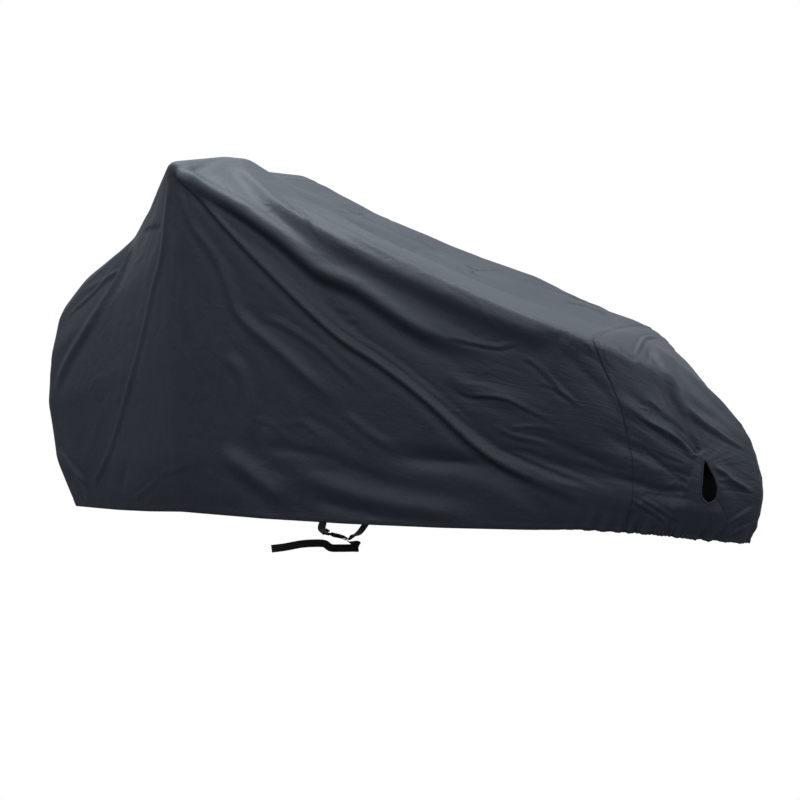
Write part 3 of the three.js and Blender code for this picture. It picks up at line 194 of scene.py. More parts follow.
# A fine crease: its width and rise, how deep the cloth dips below and above it, and thousandths of s and t
# along its crest. Every second one is also on the far side, mirrored, if it keeps off the spine and the rear.
CREASES = [
    # under the near grip, and from there to the saddle
    (7, 4.5, 0.6, 0.2, [(360, 582), (375, 568), (392, 557), (406, 543), (419, 531)]),
    (7, -3, 0, -0.5, [(397, 557), (409, 551), (421, 538)]),
    (7, 3, 0.4, 0.2, [(414, 515), (425, 504), (438, 493)]),
    (8, 2.5, 0.5, 0.1, [(448, 546), (466, 548), (486, 540)]),
    (7, 3, 0.5, 0.3, [(510, 502), (523, 496)]),
    (7, 2.8, 0.3, 0.8, [(333, 446), (339, 415), (346, 385), (356, 326), (366, 272), (367, 241)]),
    (7, 3.5, 0.8, 0.2, [(225, 653), (266, 606), (306, 551)]),
    # over the rack and the rear
    (11, 5, 0.2, 0.6, [(166, 613), (132, 623), (101, 612), (55, 637)]),
    (10, 3, 0.3, 0.3, [(166, 603), (120, 638), (75, 681)]),
    (6, -3, -0.3, -0.3, [(204, 399), (233, 369)]),
    (8, 2, 0.3, 0.3, [(166, 444), (215, 430), (247, 418)]),
    # on the side below the grip
    (7, 3.5, 0.3, 0.6, [(392, 355), (404, 371), (419, 363)]),
    (7, 3.2, 0.5, 0.5, [(414, 374), (422, 363), (425, 343)]),
    # below the rope fold
    (18, 6, 0.5, 0.3, [(416, 471), (441, 449), (466, 433), (493, 413), (523, 380), (549, 344),
     (577, 313)]),
    (16, 5.5, 0.5, 0.4, [(460, 473), (491, 479), (521, 469), (551, 448), (585, 405), (615, 360)]),
    # round the grip and along the shoulder
    (7, 5, 0.7, 0.3, [(477, 779), (496, 806), (513, 792), (533, 762), (555, 739)]),
    (7, 2.8, 0.6, 0, [(426, 689), (462, 715), (484, 804)]),
    (9, -9, -0.4, -0.5, [(324, 695), (345, 706), (351, 732), (346, 778)]),
    (9, 4, 0, 0.2, [(327, 715), (334, 761), (336, 826)]),
    # over the top
    (7, 3.2, 0.6, 0.2, [(470, 1036), (469, 1114), (463, 1192), (475, 1207)]),
    (7, -3, 0, -0.6, [(594, 937), (582, 1081), (590, 1155)]),
    (8, -3.2, -0.3, -0.3, [(541, 1210), (565, 1183), (584, 1180)]),
    (7, 3.4, 0.7, 0.2, [(628, 1133), (654, 1091), (654, 1182), (674, 1218)]),
    (6, 2.5, 0.4, 0.4, [(651, 1077), (674, 1023)]),
    # on the load box's shoulder
    (7, 5, 0.6, 0.4, [(719, 822), (727, 815), (737, 779), (751, 753), (761, 740)]),
    (8, 6, 0.8, 0.2, [(707, 673), (728, 679), (748, 692), (759, 714), (771, 746)]),
    (7, -3.5, -0.2, -0.6, [(706, 723), (719, 710), (728, 703), (742, 723)]),
    (8, 2.5, 0.4, 0.3, [(684, 692), (694, 701), (704, 696)]),
    (6, 3, 0.4, 0.4, [(747, 676), (756, 704), (763, 728)]),
    # on the load box's side
    (9, 5, 0.8, 0.2, [(773, 698), (788, 671), (801, 628), (815, 565), (827, 520)]),
    (8, 6, 0.9, 0.1, [(709, 493), (717, 473), (729, 460), (752, 477), (767, 479), (781, 459), (798, 435),
     (815, 418)]),
    (8, 3, 0.2, 0.2, [(720, 499), (741, 515), (757, 501)]),
    # in the rope fold and the valley above it
    (7, -3.5, -0.3, -0.4, [(590, 562), (605, 540)]),
    (6, 3, 0.5, 0.3, [(567, 582), (578, 585), (588, 587)]),
    (6, 2.5, 0.4, 0.4, [(578, 557), (588, 570), (599, 576)]),
    (6, 2.5, 0.5, 0.2, [(574, 773), (587, 778)]),
    (7, 2.6, 0.5, 0.4, [(598, 693), (610, 712), (623, 720)]),
    (6, 2.4, 0.4, 0.3, [(697, 801), (709, 800)]),
    # above and in front of the pedals
    (11, -4.5, -0.3, -0.3, [(519, 266), (543, 250), (570, 227), (604, 175)]),
    (9, 3, 0.6, 0.2, [(493, 225), (516, 239), (534, 233), (564, 185)]),
    (13, -8, -0.3, -0.4, [(448, 169), (493, 169), (529, 163), (559, 156), (585, 133), (616, 122),
     (654, 80)]),
    (8, 3.5, 0.2, 0.6, [(524, 105), (548, 110), (576, 105)]),
    (7, 3.5, 0.5, 0.5, [(489, 83), (501, 58), (512, 47), (528, 67)]),
    # at the hem and on the belly
    (11, -7, -0.3, -0.3, [(530, 53), (562, 41), (586, 33), (613, 28), (630, 11)]),
    (6, 3, 0.4, 0.4, [(607, 14), (620, 8)]),
    (18, 5, 0.4, 0.4, [(579, 293), (612, 247), (651, 202)]),
    (20, -7, 0, -0.2, [(649, 174), (699, 183), (740, 191), (779, 139)]),
    # at the rope fold's front end
    (10, 6, 0.3, 0.9, [(755, 252), (768, 228), (794, 191), (820, 147), (845, 124)]),
    (14, -7, 0, -0.2, [(762, 275), (792, 250), (818, 210), (849, 174), (876, 160)]),
    (10, 4.5, 0.5, 0.3, [(751, 360), (773, 321), (799, 311), (818, 285)]),
    (9, 3, 0.4, 0.3, [(767, 347), (796, 379), (818, 363)]),
    # low on the rear, over the wheel
    (6, 4.5, 0.5, 0.4, [(344, 247), (356, 232), (368, 213), (379, 189)]),
    (6, 2.5, 0.4, 0.4, [(279, 277), (291, 255), (303, 228)]),
    (7, 3.2, 0.6, 0.3, [(129, 302), (159, 283), (212, 263)]),
    (7, 3, 0.4, 0.4, [(131, 313), (144, 332), (172, 335)]),
    (6, 3, 0.4, 0.4, [(159, 319), (179, 332), (205, 329)]),
    (6, 3.5, 0.4, 0.4, [(200, 321), (222, 296), (216, 272)]),
    # behind the pedals
    (6, 2.5, 0.6, 0.2, [(343, 183), (379, 185), (410, 180)]),
    (6, 3.2, 0.6, 0.3, [(391, 200), (414, 194)]),
    (6, 2.6, 0.6, 0.3, [(397, 183), (417, 177)]),
    (9, 2.5, 0.4, 0.4, [(401, 321), (395, 268), (390, 225)]),
    (9, 4, 0.6, 0.3, [(448, 224), (467, 232), (489, 216), (507, 180)]),
    (7, -3.5, -0.4, -0.4, [(472, 113), (490, 75), (510, 44)]),
    # at the rear hem
    (9, -5, -0.3, -0.3, [(55, 95), (74, 52), (82, 14)]),
    (12, -5, -0.3, -0.3, [(212, 128), (189, 83), (182, 39)]),
    (9, 3.5, 0.4, 0.4, [(279, 86), (242, 58), (199, 23)]),
    (10, 3.2, 0.5, 0.2, [(276, 94), (316, 105), (356, 128)]),
    # at the near end of the front panel's seam
    (7, -5, -0.5, -0.5, [(797, 826), (806, 820), (814, 820)]),
    (6, 4.5, 0.5, 0.5, [(800, 837), (805, 847), (815, 839)]),
    (8, -4, -0.2, -0.5, [(821, 772), (834, 768), (844, 757), (851, 742), (858, 689)]),
    (7, 3.5, 0.4, 0.4, [(831, 812), (841, 856), (849, 820), (852, 767)]),
    (6, 3, 0.4, 0.5, [(826, 820), (834, 815), (838, 787)]),
    # at the load box's front corner
    (8, -6, -0.3, -0.5, [(856, 867), (870, 851), (881, 842)]),
    (9, 6, 0.4, 0.4, [(875, 861), (867, 945), (855, 1044), (849, 1127)]),
    (10, -4, -0.3, -0.3, [(885, 822), (883, 909), (873, 966)]),
    # drawn out from the near lock opening
    (10, -6, -0.4, -0.4, [(870, 588), (882, 554), (905, 509), (928, 487), (938, 459)]),
    (8, 4.5, 0.6, 0.2, [(882, 577), (894, 562), (910, 551), (928, 527)]),
    (6, 3, 0.4, 0.4, [(880, 632), (892, 640), (886, 595)]),
    (6, 2.6, 0.4, 0.4, [(890, 706), (898, 696), (903, 674)]),
    (12, -6, -0.3, -0.3, [(877, 419), (898, 360), (915, 299), (937, 250)]),
    (11, -6, -0.3, -0.3, [(888, 155), (909, 161), (938, 197)]),
    (7, 5, 0.7, 0.4, [(880, 124), (891, 106), (908, 80), (921, 53)]),
    (7, 3.5, 0.6, 0.4, [(888, 133), (904, 108), (919, 86), (934, 67)]),
    (9, 5, 0.4, 0.6, [(948, 488), (957, 455), (971, 393), (988, 343)]),
    (8, 3.5, 0.6, 0.3, [(951, 372), (965, 399), (985, 358)]),
    (8, -4.5, -0.3, -0.4, [(954, 302), (972, 329), (990, 330)]),
    (8, -5, -0.4, -0.4, [(952, 249), (959, 188), (966, 111)]),
    # at the front hem
    (9, 5, 0.4, 0.4, [(968, 72), (975, 119), (990, 221)]),
    (8, 4, 0.4, 0.4, [(977, 36), (986, 74), (995, 111)]),
    # over the front
    (10, 4.5, 0.7, 0.2, [(925, 781), (938, 745), (953, 737), (971, 732), (990, 729)]),
    (20, -7, -0.3, -0.3, [(885, 1072), (915, 981), (940, 937), (962, 905), (985, 831)]),
    # wide hollows and low ridges
    (22, -6, -0.2, -0.2, [(800, 768), (823, 715), (845, 640), (870, 538)]),
    (8, 3.5, 0.6, 0.2, [(790, 599), (804, 585), (819, 548), (830, 505)]),
    (18, -7, -0.2, -0.3, [(780, 341), (802, 324), (828, 296), (856, 254), (881, 232)]),
    (24, -5, -0.2, -0.2, [(483, 1039), (564, 1056), (666, 978), (721, 1019)]),
    (14, 3.5, 0.3, 0.3, [(417, 1155), (470, 1166), (553, 1186), (619, 1208)]),
    (9, 3.5, 0.3, 0.5, [(744, 1086), (763, 1133), (789, 1092)]),
    (9, -3, -0.3, -0.3, [(723, 1150), (743, 1268), (781, 1158)]),
]

COLUMNS = np.array([0, 0.13, 0.32, 0.50, 0.70, 0.84, 1])  # shares up one side of a section's seven places
SOFTEN = (0.010, 0.020)  # how far the drape rounds its corners, along the cover and up the cloth
SOFTEN_WITH = ((-1, 0.1), (-0.5, 0.25), (0, 0.3), (0.5, 0.25), (1, 0.1))  # steps and their weights
AT = np.array([row[0] for row in SECTIONS])
NEAR = np.array([row[1] for row in SECTIONS], float)
FAR = NEAR * (1, -1, 1)
for row, changes in FAR_CHANGES.items():
    for column, place in changes.items():
        FAR[int(np.argmin(abs(AT - row))), column] = place


def smooth(x):
    c = np.clip(x, 0, 1)
    return c * c * (3 - 2 * c)


def bell(x):
    return np.exp(-x * x)


def unit(vectors):
    return vectors / np.linalg.norm(vectors, axis=-1, keepdims=True)


def run_along(path):
    """The length run so far at each place of a path."""
    return np.concatenate([[0], np.cumsum(np.linalg.norm(np.diff(path, axis=0), axis=1))])


# ---- the drape ----

def taut(side, s, t):
    """Places on the drape before its corners are rounded. Past a centre line the other side carries on."""
    turned = (s < 0) ^ (s > 1) ^ (t > 1) ^ (side < 0)
    s = np.where(s < 0, -s, np.where(s > 1, 2 - s, s))
    t = np.maximum(np.where(t > 1, 2 - t, t), 0)
    i = np.clip(np.searchsorted(AT, s, side="right") - 1, 0, len(AT) - 2)
    j = np.clip(np.searchsorted(COLUMNS, t, side="right") - 1, 0, len(COLUMNS) - 2)
    u = ((s - AT[i]) / (AT[i + 1] - AT[i]))[..., None]
    v = ((t - COLUMNS[j]) / (COLUMNS[j + 1] - COLUMNS[j]))[..., None]

    def on(net):
        low, high = (net[i, k] * (1 - u) + net[i + 1, k] * u for k in (j, j + 1))
        return low * (1 - v) + high * v

    return np.where(turned[..., None], on(FAR), on(NEAR))


def drape(side, s, t):
    """Places on the rounded drape, in millimetres: the mean of the taut places around each one."""
    total = 0
    reach = np.minimum(SOFTEN[1], t)
    for a, along in SOFTEN_WITH:
        for b, up in SOFTEN_WITH:
            total = total + along * up * taut(side, s + a * SOFTEN[0], t + b * reach)
    return total


def drape_normal(side, s, t, step=0.004):
    along = drape(side, s + step, t) - drape(side, s - step, t)
    up = drape(side, s, t + step) - drape(side, s, np.maximum(0, t - step))
    return unit(np.cross(along, up) * np.asarray(side)[..., None])


def carried_on(path):
    """A path with one more place at each end, straight on."""
    p = np.array(path, float)
    return np.vstack([2 * p[0] - p[1], p, 2 * p[-1] - p[-2]])


def rounded(path, steps=4):
    """A smooth line through a path's places."""
    if len(path) < 3:
        return np.array(path, float)
    p = carried_on(path)
    f = np.linspace(0, 1, steps, endpoint=False)[:, None]
    out = []
    for a, b, c, d in zip(p, p[1:], p[2:], p[3:]):
        square, cube = 2 * a - 5 * b + 4 * c - d, 3 * b - a - 3 * c + d
        out.append(0.5 * (2 * b + (c - a) * f + square * f**2 + cube * f**3))
    return np.vstack(out + [p[-2:-1]])


# ---- folds ----

TROUGH = 1.7  # how far from a fold's crest its troughs are, in widths


def lift(places, normals, line, width, rise, below, above, fade):
    """How far one fold lifts the cloth at each of the places. line: points along its crest."""
    out = np.zeros(len(places))
    reach = 5 * max(width)
    near = np.all((places > line.min(0) - reach) & (places < line.max(0) + reach), axis=1)
    if not near.any():
        return out
    q, n = places[near], normals[near]
    steps, runs = np.diff(line, axis=0), run_along(line)
    best, run, offset = np.full(len(q), np.inf), np.zeros(len(q)), np.zeros(len(q))
    for start, step, begun, length in zip(line, steps, runs, np.linalg.norm(steps, axis=1)):
        away = q - start
        share = np.clip(away @ step / length ** 2, 0, 1)
        away = away - share[:, None] * step
        far = np.linalg.norm(away, axis=1)
        closer = far < best
        best[closer] = far[closer]
        run[closer] = (begun + share * length)[closer]
        offset[closer] = (far * np.sign((np.cross(step, n) * away).sum(1)))[closer]
    f = run / runs[-1]
    x = offset / (width[0] + (width[1] - width[0]) * f)
    shape = bell(x) - below * bell(x - TROUGH) - above * bell(x + TROUGH)
    out[near] = (rise[0] + (rise[1] - rise[0]) * f) * smooth(f / fade[0]) * smooth((1 - f) / fade[1]) * shape
    return out


# ---- fine wrinkles, gathers, seam and hem ----

SEAM = np.array([  # up the cloth, share along on the near and on the far side
    (0, 0.888, 0.884), (0.32, 0.880, 0.874), (0.571, 0.868, 0.860), (0.691, 0.859, 0.850),
    (0.768, 0.849, 0.840), (0.836, 0.842, 0.822), (0.878, 0.831, 0.812), (0.94, 0.823, 0.812),
    (1, 0.816, 0.816)])
SEAM_AT = 0.82  # the grid line that the seam is
SEAM_FROM = 0.64  # from here on the grid lines bend towards the seam
LAP = 0.0036  # how far the front panel's edge reaches back over the body's
SPREAD = np.array([2540.0, 1250.0])  # rough size of one side of the cloth, for patterns on it
CLIMB = 1385  # from hem to spine, for what is measured up from the hem
HEM_BAND, HEM_ROW = 26, 21.5  # heights of the turned hem and of its row of stitches
CLOTH_THICK, HEM_THICK = 1.6, 2.2
WORN_RISE = 22  # a ridge this high is worn
CREASE_SHARE, CREASE_LEAST = 0.66, 4.4  # a crease has this share of its width in the table, and at least this
RUCKS = {1: (0.79, 0.85, 15, 5.0, 0.14), -1: (0.80, 0.86, 14, 5.0, 0.13)}  # start, full, ripples, rise, reach
GRIP, LOCK_PULL = (500, 1240), (2108, 340)  # x and z that drag lines run out from
LOCK = (0.9445, 0.491, 0.195)  # middle along the cover, top and bottom of the lock openings
LOCK_OUTLINE = [  # share down the opening, and how far its edge is to the rear and to the front
    (0, 0.0025, -0.0025), (0.12, 0.0042, 0.0012), (0.32, 0.0050, 0.0055), (0.55, 0.0056, 0.0084),
    (0.78, 0.0052, 0.0088), (0.92, 0.0030, 0.0070), (1, -0.0020, 0.0020)]


def hashed(i, j, seed):
    h = (i.astype(np.int64) * 374761393 + j.astype(np.int64) * 668265263 + seed * 974634777) & 0xFFFFFFFF
    h = ((h ^ (h >> 13)) * 1274126177) & 0xFFFFFFFF
    return ((h ^ (h >> 16)) & 0xFFFFFF) / 0x7FFFFF - 1


def noise(x, y, seed):
    """Smooth values from -1 to 1 that change about once over each unit."""
    i, j = np.floor(x), np.floor(y)
    u, v = (f * f * f * (f * (f * 6 - 15) + 10) for f in (x - i, y - j))
    low, high = (hashed(i, k, seed) * (1 - u) + hashed(i + 1, k, seed) * u for k in (j, j + 1))
    return low * (1 - v) + high * v


def ridged(x, y, seed):
    return 1 - 2 * np.abs(noise(x, y, seed)) ** 0.8


def drag_lines(p, side, t):
    """Shallow wrinkles that run out from the handlebar's grips, and from the lock openings in front."""
    x, z = p[:, 0] - GRIP[0], GRIP[1] - p[:, 2]
    away, turn = np.hypot(x, z) + 1, np.arctan2(z, x)
    coarse = ridged(turn * 7.5 + 0.5 * noise(away / 160, turn * 3, 5), away / 420, 11 + side)
    fine = noise(turn * 17 + noise(away / 120, turn * 5, 7), away / 210, 23 + side)
    lines = coarse * smooth(away / 260) + 0.6 * fine * smooth(away / 500)
    x, z = p[:, 0] - LOCK_PULL[0], p[:, 2] - LOCK_PULL[1]
    away, turn = np.hypot(x, z) + 1, np.arctan2(z, x)
    front = ridged(turn * 4.2, away / 260, 31 + side) * smooth(away / 60)
    mix = smooth((p[:, 0] - 1500) / 500)
    return ((1 - mix) * lines + mix * front) * smooth(abs(p[:, 1]) / 90) * smooth(t / 0.05)


def crumple(side, s, t):
    """Small dents all over, of the size that a packed cloth keeps."""
    u, v = s * SPREAD[0], np.where(side > 0, t, 2 - t) * SPREAD[1]
    a, b = (u * 0.8 - v * 0.6), (u * 0.6 + v * 0.8)
    dents = 0.75 * ridged(a / 150, b / 62 + 0.5 * noise(a / 90, b / 70, 3), 41)
    small = 0.25 * ridged(a / 58 + 0.4 * noise(u / 40, v / 40, 9), b / 34, 43)
    dents += small * smooth(0.5 + noise(u / 240, v / 200, 44))
    soft = 1.8 * noise(u / 230, v / 170, 47) + 1.0 * noise(u / 110, v / 95, 48)
    return dents * (0.5 + 0.5 * noise(u / 320, v / 280, 45)) + soft * 0.8


def ruck(side, s, t):
    """The elastic hem: long ripples of its gathers, short folds between them and fine puckers at its edge."""
    out = np.zeros(len(s))
    for one, (start, full, count, rise, reach) in RUCKS.items():
        u = (s - start) / (1 - start)
        wave = np.sin(2 * np.pi * count * u + 0.9 * np.sin(4.6 * np.pi * u))
        wave = wave * np.clip(1 - t / reach, 0, 1) ** 1.5
        short = ridged(u * count * 2.3, t * 9, 61 + one) * np.clip(1 - t / (0.55 * reach), 0, 1)
        fine = np.sin(2 * np.pi * count * 3.7 * u + 2.2 * noise(u * 9, t * 20, 67 + one))
        fine = fine * (0.6 + 0.4 * noise(u * 13, t * 30, 71 + one)) * smooth((0.042 - t) / 0.03)
        gathers = (0.55 * rise * wave + 3.2 * short + 2.1 * fine) * smooth((s - start) / (full - start))
        out += np.where(side == one, gathers, 0)
    return out


def seam_share(side, t):
    return np.where(side > 0, *(np.interp(t, SEAM[:, 0], SEAM[:, column]) for column in (1, 2)))


def bent(side, line, t, on_front):
    """The share along the cover of a grid line. The lines bend, so that one of them is the seam."""
    seam = seam_share(side, t)
    before = SEAM_FROM + (line - SEAM_FROM) * (seam - SEAM_FROM) / (SEAM_AT - SEAM_FROM)
    after = seam + (line - SEAM_AT) * (1 - seam) / (1 - SEAM_AT)
    return after if on_front else np.where(line <= SEAM_FROM, line, before)


def sides(t):
    """The side and the share up it, for places that run over both sides."""
    return np.where(t <= 1, 1, -1), np.where(t <= 1, t, 2 - t)


def seam_step(side, s, t, on_front):
    """The lapped seam: the front panel's edge lies on the body's, which dips under it."""
    d = (s - seam_share(side, t)) * SPREAD[0]
    if on_front:
        return 1.0 * smooth((12 - d) / 14) - 0.6 * bell((d + 5.5) / 1.3) - 0.5 * bell((d - 1.5) / 1.3)
    return -1.6 * smooth((d + 18) / 10)


def hem_band(t):
    """The turned hem: a band of double cloth with its row of stitches near the top."""
    up = t * CLIMB
    return 0.9 * smooth((HEM_BAND - up) / 2.5) - 0.8 * bell((up - HEM_ROW) / 1.6) - 0.9 * bell(up / 2.0)


class Cloth:
    """Places on the dressed cloth."""

    def __init__(self, crease_depth):
        self.folds = [(rounded(crest), width, rise, below, above, fade)
                      for width, rise, below, above, fade, crest in FOLDS]
        for width, rise, below, above, crest in CREASES:
            s, t = np.array(crest).T / 1000
            wide, rise = max(CREASE_SHARE * width, CREASE_LEAST), rise * crease_depth
            self.crease(s, t, (wide, wide * 1.1), (rise, rise * 0.85), below, above, (0.22, 0.3))
        for width, rise, below, above, crest in CREASES[::2]:
            s, t = np.array(crest).T / 1000
            if t.max() < 0.93 and s.min() > 0.05:
                wide, rise = width * 1.2, rise * crease_depth * 0.8
                self.crease(s + 0.012, 2 - t * 0.97, (wide, wide), (rise, rise), above, below, (0.25, 0.3))

    def crease(self, s, t, *rest):
        side, up = sides(t)
        self.folds.append((rounded(drape(side, s, up)), *rest))

    def places(self, s, t, on_front):
        """The drape's places and outward directions at (s, t), and how far the folds lift the cloth there."""
        side, up = sides(t)
        p, n = drape(side, s, up), drape_normal(side, s, up)
        rise = np.zeros(len(s))
        for fold in self.folds:
            rise += lift(p, n, *fold)
        rise += 1.1 * drag_lines(p, side, up) + 0.8 * crumple(side, s, up) * smooth(s / 0.02)
        rise *= 0.4 + 0.6 * smooth(up / 0.02)
        rise += ruck(side, s, up) + seam_step(side, s, up, on_front) + hem_band(up)
        return p, n, rise

    def on(self, s, t, out=0.0, on_front=False):
        """Places on the cloth in the row frame, in metres, a little outside it."""
        p, n, rise = self.places(np.asarray(s, float), np.asarray(t, float), on_front)
        return (p + n * (rise + out)[:, None] - ORIGIN) / 1000


# ---- meshes ----

def linked(name, mesh):
    piece = bpy.data.objects.new(name, mesh)
    bpy.context.collection.objects.link(piece)
    return piece


def shade_smooth(mesh):
    mesh.polygons.foreach_set("use_smooth", [True] * len(mesh.polygons))


def made_mesh(name, places, faces, material=None):
    """A mesh object from places in the row frame, flat-shaded where it has no material yet."""
    mesh = bpy.data.meshes.new(name)
    mesh.from_pydata([tuple(map(float, p)) for p in places], [], [tuple(map(int, f)) for f in faces])
    if material is not None:
        mesh.materials.append(material)
        shade_smooth(mesh)
    mesh.update()
    return linked(name, mesh)


def turned_out(piece):
    """Has the piece's faces all look outwards."""
    made = bmesh.new()
    made.from_mesh(piece.data)
    bmesh.ops.recalc_face_normals(made, faces=made.faces)
    made.to_mesh(piece.data)
    made.free()


def baked(piece):
    """The mesh that a piece's modifiers give."""
    graph = bpy.context.evaluated_depsgraph_get()
    return bpy.data.meshes.new_from_object(piece.evaluated_get(graph))


def mapped(mesh, places):
    """Gives a mesh its map in metres, one place for each corner of a face."""
    mesh.uv_layers.new(name="cloth").data.foreach_set("uv", np.array(places).ravel())


def least_around(grid):
    """The least of each value and its neighbours up to two steps away."""
    for axis in (0, 1):
        for _ in range(2):
            other = np.swapaxes(grid, 0, axis)
            low = other.copy()
            low[1:] = np.minimum(low[1:], other[:-1])
            low[:-1] = np.minimum(low[:-1], other[1:])
            grid = np.swapaxes(low, 0, axis)
    return grid


def quads(grid):
    """What stands at the four corners of each cell of a grid, going round it."""
    cells = np.stack([grid[:-1, :-1], grid[1:, :-1], grid[1:, 1:], grid[:-1, 1:]], 2)
    return cells.reshape(-1, 4, *grid.shape[2:])


def sheet_mesh(name, cloth, lines, climb, on_front, material):
    """A closed sheet over a grid of (s, t): its outside, a plainer inside and the turned edges."""
    n, m = len(lines) - 1, len(climb) - 1
    L, T = np.meshgrid(lines, climb, indexing="ij")
    side, up = sides(T.ravel())
    s = bent(side, L.ravel(), up, on_front)
    p, normal, rise = cloth.places(s, T.ravel(), on_front)
    outer = p + normal * rise[:, None]
    thick = np.where(up * CLIMB < HEM_BAND, HEM_THICK, CLOTH_THICK)
    edge = (up == 0) | (L.ravel() == (lines[0] if on_front else lines[-1]))
    low = np.where(edge, rise, least_around(rise.reshape(L.shape)).ravel()) - thick
    inner = p + normal * low[:, None]

    ids = np.arange((n + 1) * (m + 1)).reshape(n + 1, m + 1)
    meeting = n if on_front else 0  # on this line the two sides meet
    ids[meeting, m // 2 + 1:] = ids[meeting, m // 2 - 1::-1]
    coarse = ids[::2, ::2] + len(outer)
    flat = np.stack([L * SPREAD[0] / 1000, T * SPREAD[1] / 1000], -1)
    near_hem, far_hem = [(i, 0) for i in range(n)], [(i, m) for i in range(n, 0, -1)]
    if on_front:
        rim = near_hem + far_hem + [(0, j) for j in range(m, -1, -1)]
    else:
        rim = near_hem + [(n, j) for j in range(m)] + far_hem + [(0, m)]
    edges, edges_flat = [], []
    for k in range(0, len(rim) - 1, 2):
        a, b, c = rim[k:k + 3]
        d, e = (coarse[i // 2, j // 2] for i, j in (a, c))
        edges += [(ids[b], ids[a], d), (ids[c], ids[b], e), (ids[b], d, e)]
        edges_flat += [(flat[b], flat[a], flat[a]), (flat[c], flat[b], flat[c]), (flat[b], flat[a], flat[c])]

    faces = [*quads(ids).tolist(), *quads(coarse)[:, ::-1].tolist(), *np.array(edges).tolist()]
    used, renumbered = np.unique(np.concatenate(faces), return_inverse=True)
    faces = np.split(renumbered, np.cumsum([len(face) for face in faces])[:-1])
    places = (np.vstack([outer, inner])[used] - ORIGIN) / 1000
    piece = made_mesh(name, places, faces, material)
    corners = (quads(flat), quads(flat[::2, ::2])[:, ::-1], np.array(edges_flat))
    mapped(piece.data, np.concatenate([part.reshape(-1, 2) for part in corners]))
    worn = np.clip(np.concatenate([rise, low])[used] / WORN_RISE, -1, 1)
    piece.data.attributes.new("worn", "FLOAT", "POINT").data.foreach_set("value", worn.astype(np.float32))
    return piece


# ---- nodes ----

FLOAT, VECTOR, GEOMETRY = "NodeSocketFloat", "NodeSocketVector", "NodeSocketGeometry"


def fill(tree, socket, value):
    """Gives a socket another node's output, a colour or a plain value."""
    if isinstance(value, bpy.types.NodeSocket):
        tree.links.new(value, socket)
    elif socket.type == "RGBA" and len(value) == 3:
        socket.default_value = (*value, 1.0)
    else:
        socket.default_value = value


def node(tree, kind, inputs=(), **fields):
    """A new node with its fields set and its inputs filled, each named or numbered."""
    made = tree.nodes.new(kind)
    for name, value in fields.items():
        setattr(made, name, value)
    for name, value in dict(inputs).items():
        fill(tree, made.inputs[name], value)
    return made


def maths(tree, operation, *values, clamp=False):
    return node(tree, "ShaderNodeMath", enumerate(values), operation=operation, use_clamp=clamp).outputs[0]


def noise_texture(tree, place, **inputs):
    """Cloudy noise over a place. Scale, Detail, Roughness and Distortion are its inputs."""
    return node(tree, "ShaderNodeTexNoise", {"Vector": place, **inputs}).outputs["Fac"]


def mapping(tree, place, **inputs):
    return node(tree, "ShaderNodeMapping", {"Vector": place, **inputs}).outputs[0]


def blend(tree, factor, first, second):
    """A colour between two, each a plain colour or another node's output."""
    return node(tree, "ShaderNodeMix", {0: factor, 6: first, 7: second}, data_type="RGBA").outputs[2]


def group_tree(name, inputs, outputs, kind="ShaderNodeTree"):
    """A new node group, with what it is given and what it puts out."""
    tree = bpy.data.node_groups.new(name, kind)
    for label, socket_kind, value in inputs:
        socket = tree.interface.new_socket(name=label, in_out="INPUT", socket_type=socket_kind)
        if value is not None:
            socket.default_value = value
    for label, socket_kind in outputs:
        tree.interface.new_socket(name=label, in_out="OUTPUT", socket_type=socket_kind)
    return tree, tree.nodes.new("NodeGroupInput").outputs, tree.nodes.new("NodeGroupOutput").inputs


def group_node(tree, group, inputs):
    return node(tree, "ShaderNodeGroup", inputs, node_tree=bpy.data.node_groups[group]).outputs


def weave_group():
    """Plain weave on a map in metres: the height of its threads, and a shade that varies along them."""
    tree, given, out = group_tree(
        "plain weave", [("Place", VECTOR, None), ("Threads per metre", FLOAT, 1100.0)],
        [("Height", FLOAT), ("Shade", FLOAT)])
    apart = node(tree, "ShaderNodeSeparateXYZ", {0: given["Place"]}).outputs
    turns = [maths(tree, "MULTIPLY", apart[axis], given["Threads per metre"]) for axis in (0, 1)]
    waves = [maths(tree, "SINE", maths(tree, "MULTIPLY", turn, math.pi)) for turn in turns]
    fill(tree, out["Height"], maths(tree, "MULTIPLY_ADD", maths(tree, "MULTIPLY", *waves), 0.5, 0.5))
    streaks = mapping(tree, given["Place"], Scale=(1.0, 9.0, 1.0))
    fill(tree, out["Shade"], noise_texture(tree, streaks, Scale=160.0, Detail=3.0))


def dust_group():
    """Where fine dust has settled: a soft mask of blotches and a finer one of specks."""
    tree, given, out = group_tree(
        "settled dust", [("Place", VECTOR, None), ("Blotches", FLOAT, 3.2), ("Specks", FLOAT, 90.0)],
        [("Mask", FLOAT)])
    masks = []
    for label, detail in (("Blotches", 5.0), ("Specks", 2.0)):
        clouds = noise_texture(tree, given["Place"], Scale=given[label], Detail=detail, Roughness=0.6)
        spread = {"Value": clouds, "From Min": 0.38, "From Max": 0.68}
        masks.append(node(tree, "ShaderNodeMapRange", spread).outputs[0])
    blotches = maths(tree, "MULTIPLY", masks[0], 0.75)
    fill(tree, out["Mask"], maths(tree, "MULTIPLY_ADD", masks[1], 0.25, blotches))


